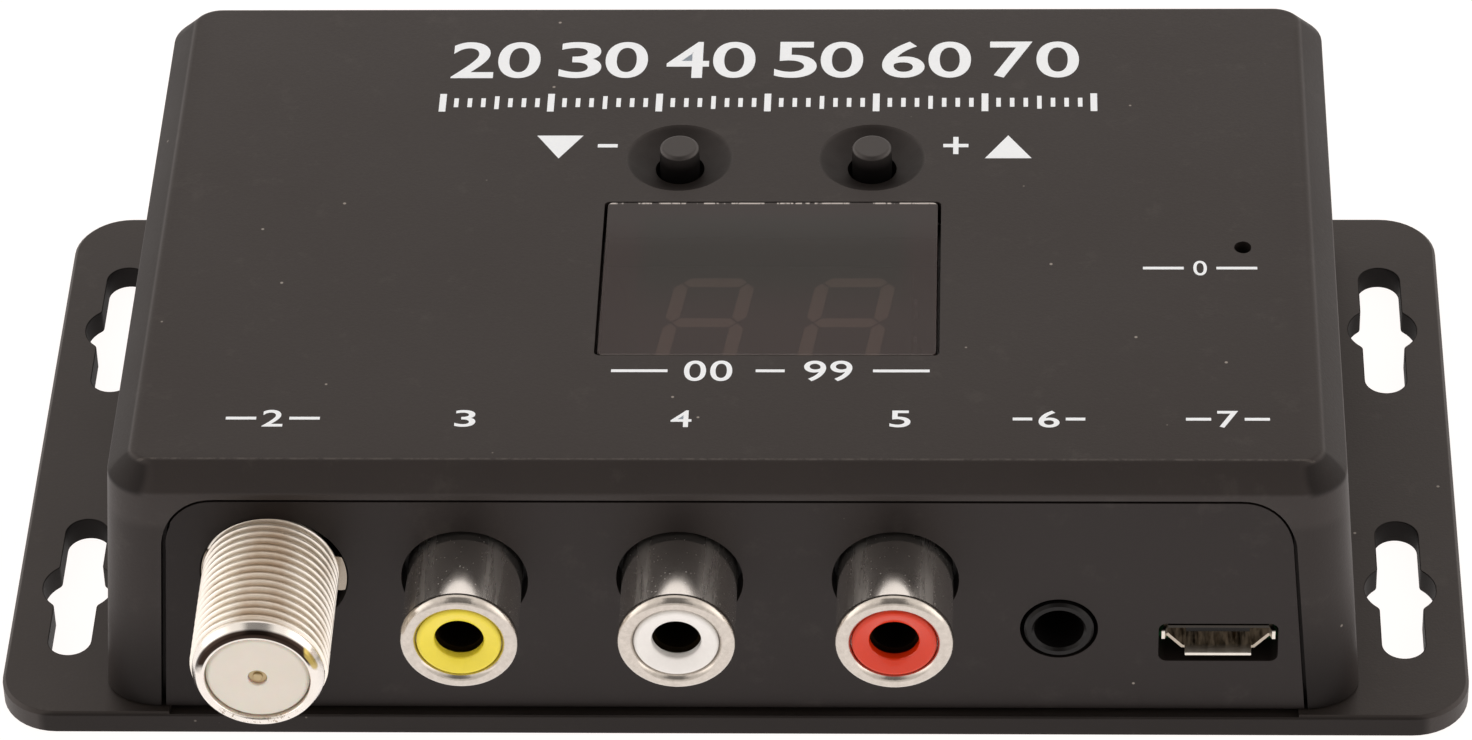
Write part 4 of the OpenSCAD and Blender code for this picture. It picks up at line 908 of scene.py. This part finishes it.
def cover_painted_highlights(finish):
    """Painted highlights: a thin broken pale line on the roof's front edge, a fine one on the right shoulder
    """
    across, along, up = finish.split(finish.place)
    front_line = (1 - abs(along - roof_front * mm).rise(0.05 * mm, 0.13 * mm)) * up.rise(24.2 * mm, 24.3 * mm)
    front_line = front_line * finish.noise(0.7 * mm, 3, 0.7).rise(0.35, 0.65)
    side_line = 1 - abs(up - (shoulder_z + 0.02) * mm).rise(0.06 * mm, 0.16 * mm)
    side_line = side_line * across.rise((shoulder_x - 0.1) * mm, shoulder_x * mm)
    return front_line * 0.14 + side_line * (1 - along.rise(2 * mm, 14 * mm)) * 0.09


cover_abs = moulded(
    "cover_abs", (0.015, 0.0115, 0.0102), (0.3, 0.27, 0.24), 0.5, 0.22, shade=cover_shade, painted_reflection=cover_painted_highlights
)
window_x, window_y, window_w, window_d = 2.9, -6.4, 24.8, 17.5
window_left, window_rear = window_x - window_w / 2, window_y + window_d / 2
window_back, window_out = 0.5, 0.35
flange_w, edge_reach, roof_inside_z = 1.6, 0.8, 21


def widen(piece):
    """Moves the window's rear edge back and its left edge out"""
    for vertex in piece.data.vertices:
        place = vertex.co / mm
        in_width = abs(place.x - window_x) < window_w / 2 + flange_w
        in_depth = abs(place.y - window_y) < window_d / 2 + flange_w
        if place.z > roof_inside_z and in_width and in_depth:
            if place.y > window_rear - edge_reach:
                vertex.co.y += window_back * mm
            if place.x < window_left + edge_reach:
                vertex.co.x -= window_out * mm


cover = dressed("top_cover", cover_abs, 0.08 * mm)
lean(cover)
widen(cover)


# Display window
# A plate of smoked acrylic from inside the roof, flush with it and kept by its flange. Its rear edge is
# chipped where it was cut, and it lets a little of the digits through.
smoke = Finish("smoked_acrylic")
across, along, _ = smoke.split(smoke.place)
cloud = smoke.noise(6 * mm, 3)
from_side = window_w / 2 * mm - abs(across - window_x * mm)
from_rear = (window_rear + window_back) * mm - along
from_front = along - (window_y - window_d / 2) * mm
middle = from_side.rise(1.6 * mm, 3.6 * mm) * from_rear.rise(0.8 * mm, 2.6 * mm)
middle = middle * from_front.rise(4 * mm, 10 * mm)
sheer = 0.03 + 0.27 * from_rear.rise(1.5 * mm, 6.5 * mm)
chips = smoke.noise(0.9 * mm, 3, 0.8, smoke.stretched((1, 0.15, 1))).rise(0.43, 0.5)
rear_chips = (1 - from_rear.rise(0.2 * mm, 0.36 * mm)) * chips
front_line = (1 - from_front.rise(0.12 * mm, 0.2 * mm)) * 0.25
tint = smoke.mix(middle, (0.036, 0.021, 0.019), (0.026, 0.021, 0.017))
tint = smoke.mix(0.6 - 2 * sheer, tint, (0.004, 0.0015, 0.001))
tint = smoke.mix(rear_chips + front_line, tint, (0.62, 0.57, 0.54))
smoked = smoke.surface(cloud, 0.004 * mm, Base_Color=tint, Roughness=0.3 + 0.1 * cloud, Alpha=1 - sheer)
window = dressed("display_window", smoked, 0.05 * mm)
widen(window)


# Case screws
# Four cross-head screws, zinc-plated, sunk in the plate's underside. They hold the cover and the plate
# together.
finished(zinc, "case_screws")


# Print on the roof
# White ink, printed flat: a scale of plain numbers over a row of ticks, marks for the buttons, and numbers by
# the window, the light and the sockets.
# The ink has a faint painted glow.
ink = Finish("white_ink")
cloud = ink.noise(0.3 * mm, 3)
white_ink = ink.surface(
    cloud, 0.002 * mm, Base_Color=ink.mix(cloud, (0.84, 0.88, 0.92), (0.92, 0.96, 1)), Roughness=0.5,
    Emission_Color=(1, 1, 1, 1), Emission_Strength=0.06,
)
ink_t, rule_t, glyph_depth = 0.012, 0.3, 0.5
scale_weight, caption_weight, light_weight, port_weight = 0.012, 0.006, 0.004, 0.008


def printed(name, figures, low, high, weight=0.0):
    """Figures in flat ink that fill the box from one corner to the other, in millimetres on the roof"""
    font = bpy.data.curves.new(name, "FONT")
    font.body = figures
    font.offset = weight
    font.extrude = glyph_depth
    writing = new_piece(name, font)
    bpy.context.view_layer.update()
    mesh = bpy.data.meshes.new_from_object(writing.evaluated_get(bpy.context.evaluated_depsgraph_get()))
    bpy.data.objects.remove(writing)
    places = [[vertex.co[axis] for vertex in mesh.vertices] for axis in range(3)]
    lows = Vector([min(values) for values in places])
    highs = Vector([max(values) for values in places])
    fit = Vector(((high[0] - low[0]) / (highs.x - lows.x), (high[1] - low[1]) / (highs.y - lows.y), ink_t))
    move = Matrix.Translation(Vector((low[0], low[1], roof_z)) * mm)
    mesh.transform(move @ Matrix.Diagonal((*(fit * mm), 1)) @ Matrix.Translation(-lows))
    return settle(new_piece(name, mesh), white_ink)


def bar(name, low, high, lift=0.0):
    """A plain rectangle of ink, lifted where it crosses another"""
    mesh = bpy.data.meshes.new(name)
    shape = bmesh.new()
    bmesh.ops.create_cube(shape, size=1)
    span = Vector((high[0] - low[0], high[1] - low[1], ink_t))
    centre = Vector(((high[0] + low[0]) / 2, (high[1] + low[1]) / 2, roof_z + ink_t / 2 + lift))
    stretch = Matrix.Translation(centre * mm) @ Matrix.Diagonal((*(span * mm), 1))
    bmesh.ops.transform(shape, matrix=stretch, verts=shape.verts)
    shape.to_mesh(mesh)
    shape.free()
    return settle(new_piece(name, mesh), white_ink)


def arrow(name, tip, base, half_w):
    """A triangle of ink from the middle of its base to its tip"""
    mesh = bpy.data.meshes.new(name)
    outline = ((base[0] - half_w, base[1]), (base[0] + half_w, base[1]), tip)
    points = [Vector((x, y, z)) * mm for z in (roof_z, roof_z + ink_t) for x, y in outline]
    faces = [(2, 1, 0), (3, 4, 5), (0, 1, 4, 3), (1, 2, 5, 4), (2, 0, 3, 5)]
    mesh.from_pydata(points, [], faces)
    shape = bmesh.new()
    shape.from_mesh(mesh)
    bmesh.ops.recalc_face_normals(shape, faces=shape.faces)
    shape.to_mesh(mesh)
    shape.free()
    return settle(new_piece(name, mesh), white_ink)


def side_rules(name, middle, gap, length, low_y):
    """A thin rule at each side of a number"""
    bar(name + "_left_rule", (middle - gap - length, low_y), (middle - gap, low_y + rule_t))
    bar(name + "_right_rule", (middle + gap, low_y), (middle + gap + length, low_y + rule_t))


scale_low, scale_high, scale_count = -23.1, 26.5, 6
scale_step = (scale_high - scale_low) / scale_count
figure_w, figure_pitch, figure_low_y, figure_high_y = 3.25, 3.55, 18.1, 22.65
number_half_w = 3.45
for count in range(scale_count):
    left = scale_low + scale_step * (count + 0.5) - number_half_w
    for digit, figure in enumerate(str(10 * (count + 2))):
        start = left + figure_pitch * digit
        printed(
            f"scale_number_{count + 1}_{digit + 1}", figure, (start, figure_low_y),
            (start + figure_w, figure_high_y), scale_weight,
        )

ticks_per_step, scale_shift, ticks_y = 8, 0.3, 15.0
tick_sizes = {
    "Count": scale_count * ticks_per_step + 1,
    "Step": scale_step / ticks_per_step * mm,
    "Width": 0.34 * mm,
    "Height": 1.1 * mm,
    "Thickness": ink_t * mm,
}
group, tree, size = geometry_tree("ticks", tick_sizes)
row = tree.node("GeometryNodeMeshLine", values={
    "Count": size["Count"], "Offset": tree.node("ShaderNodeCombineXYZ", values={0: size["Step"]}),
})
place = tree.node("GeometryNodeInputIndex")
main = 1 - (place % float(ticks_per_step) > 0.5)
half = 1 - (place % (ticks_per_step / 2) > 0.5)
reach = size["Height"] * (1 + 0.45 * half + 0.55 * main)
tick = tree.node("GeometryNodeMeshCube", {}, {"Size": (1, 1, 1)})
stretch = tree.node("ShaderNodeCombineXYZ", values={
    0: size["Width"] * (1 + 0.5 * main), 1: reach, 2: size["Thickness"],
})
ticks = tree.node("GeometryNodeInstanceOnPoints", values={"Points": row, "Instance": tick, "Scale": stretch})
rule = grown("scale_ticks", group, tree, ticks, tick_sizes, white_ink)
first_tick = Vector((scale_low + scale_shift, ticks_y, roof_z + ink_t / 2)) * mm
rule.data.transform(Matrix.Translation(first_tick))
settle(rule, white_ink)

arrow_half_w, arrow_low_y, arrow_high_y, down_arrow_x, up_arrow_x = 1.75, 8.1, 10.9, -13.6, 20.3
mark_low_y, mark_high_y, cross_lift = 9.45, 9.85, 0.004
bar("down_minus", (-10.7, mark_low_y), (-9.2, mark_high_y))
arrow("down_arrow", (down_arrow_x, arrow_low_y), (down_arrow_x, arrow_high_y), arrow_half_w)
bar("up_plus_across", (15.4, mark_low_y), (17.3, mark_high_y))
bar("up_plus_upright", (16.15, 8.6), (16.55, 10.7), cross_lift)
arrow("up_arrow", (up_arrow_x, arrow_high_y), (up_arrow_x, arrow_low_y), arrow_half_w)

caption_w, caption_pitch, caption_low_y, caption_high_y = 1.6, 1.9, -18.05, -15.75
for name, figures, left in (("first", "00", -3.2), ("last", "99", 5.5)):
    for digit, figure in enumerate(figures):
        start = left + caption_pitch * digit
        printed(
            f"caption_{name}_{digit + 1}", figure, (start, caption_low_y),
            (start + caption_w, caption_high_y), caption_weight,
        )
caption_x, caption_rule_y, dash_half_w, caption_gap, caption_rule_w = 3.05, -17.05, 1.05, 7.45, 4.1
dash_low, dash_high = caption_x - dash_half_w, caption_x + dash_half_w
bar("caption_dash", (dash_low, caption_rule_y), (dash_high, caption_rule_y + rule_t))
side_rules("caption", caption_x, caption_gap, caption_rule_w, caption_rule_y)

number_gap = 1.2
light_x, light_half_w, light_rule_w, light_rule_y = 34.4, 0.5, 3.0, -5.2
printed("light_number", "0", (light_x - light_half_w, -5.9), (light_x + light_half_w, -4.2), light_weight)
side_rules("light", light_x, number_gap, light_rule_w, light_rule_y)

port_places = ((-32.67, 2.2), (-18.77, 0.0), (-3.21, 0.0), (12.52, 0.0), (23.2, 1.4), (36.0, 1.8))
port_half_w, port_low_y, port_high_y, port_rule_y = 0.75, -23.2, -21.35, -22.42
for count, (middle, rule_w) in enumerate(port_places):
    printed(
        f"socket_number_{count + 1}", str(count + 2), (middle - port_half_w, port_low_y),
        (middle + port_half_w, port_high_y), port_weight,
    )
    if rule_w:
        side_rules(f"socket_{count + 1}", middle, number_gap, rule_w, port_rule_y)
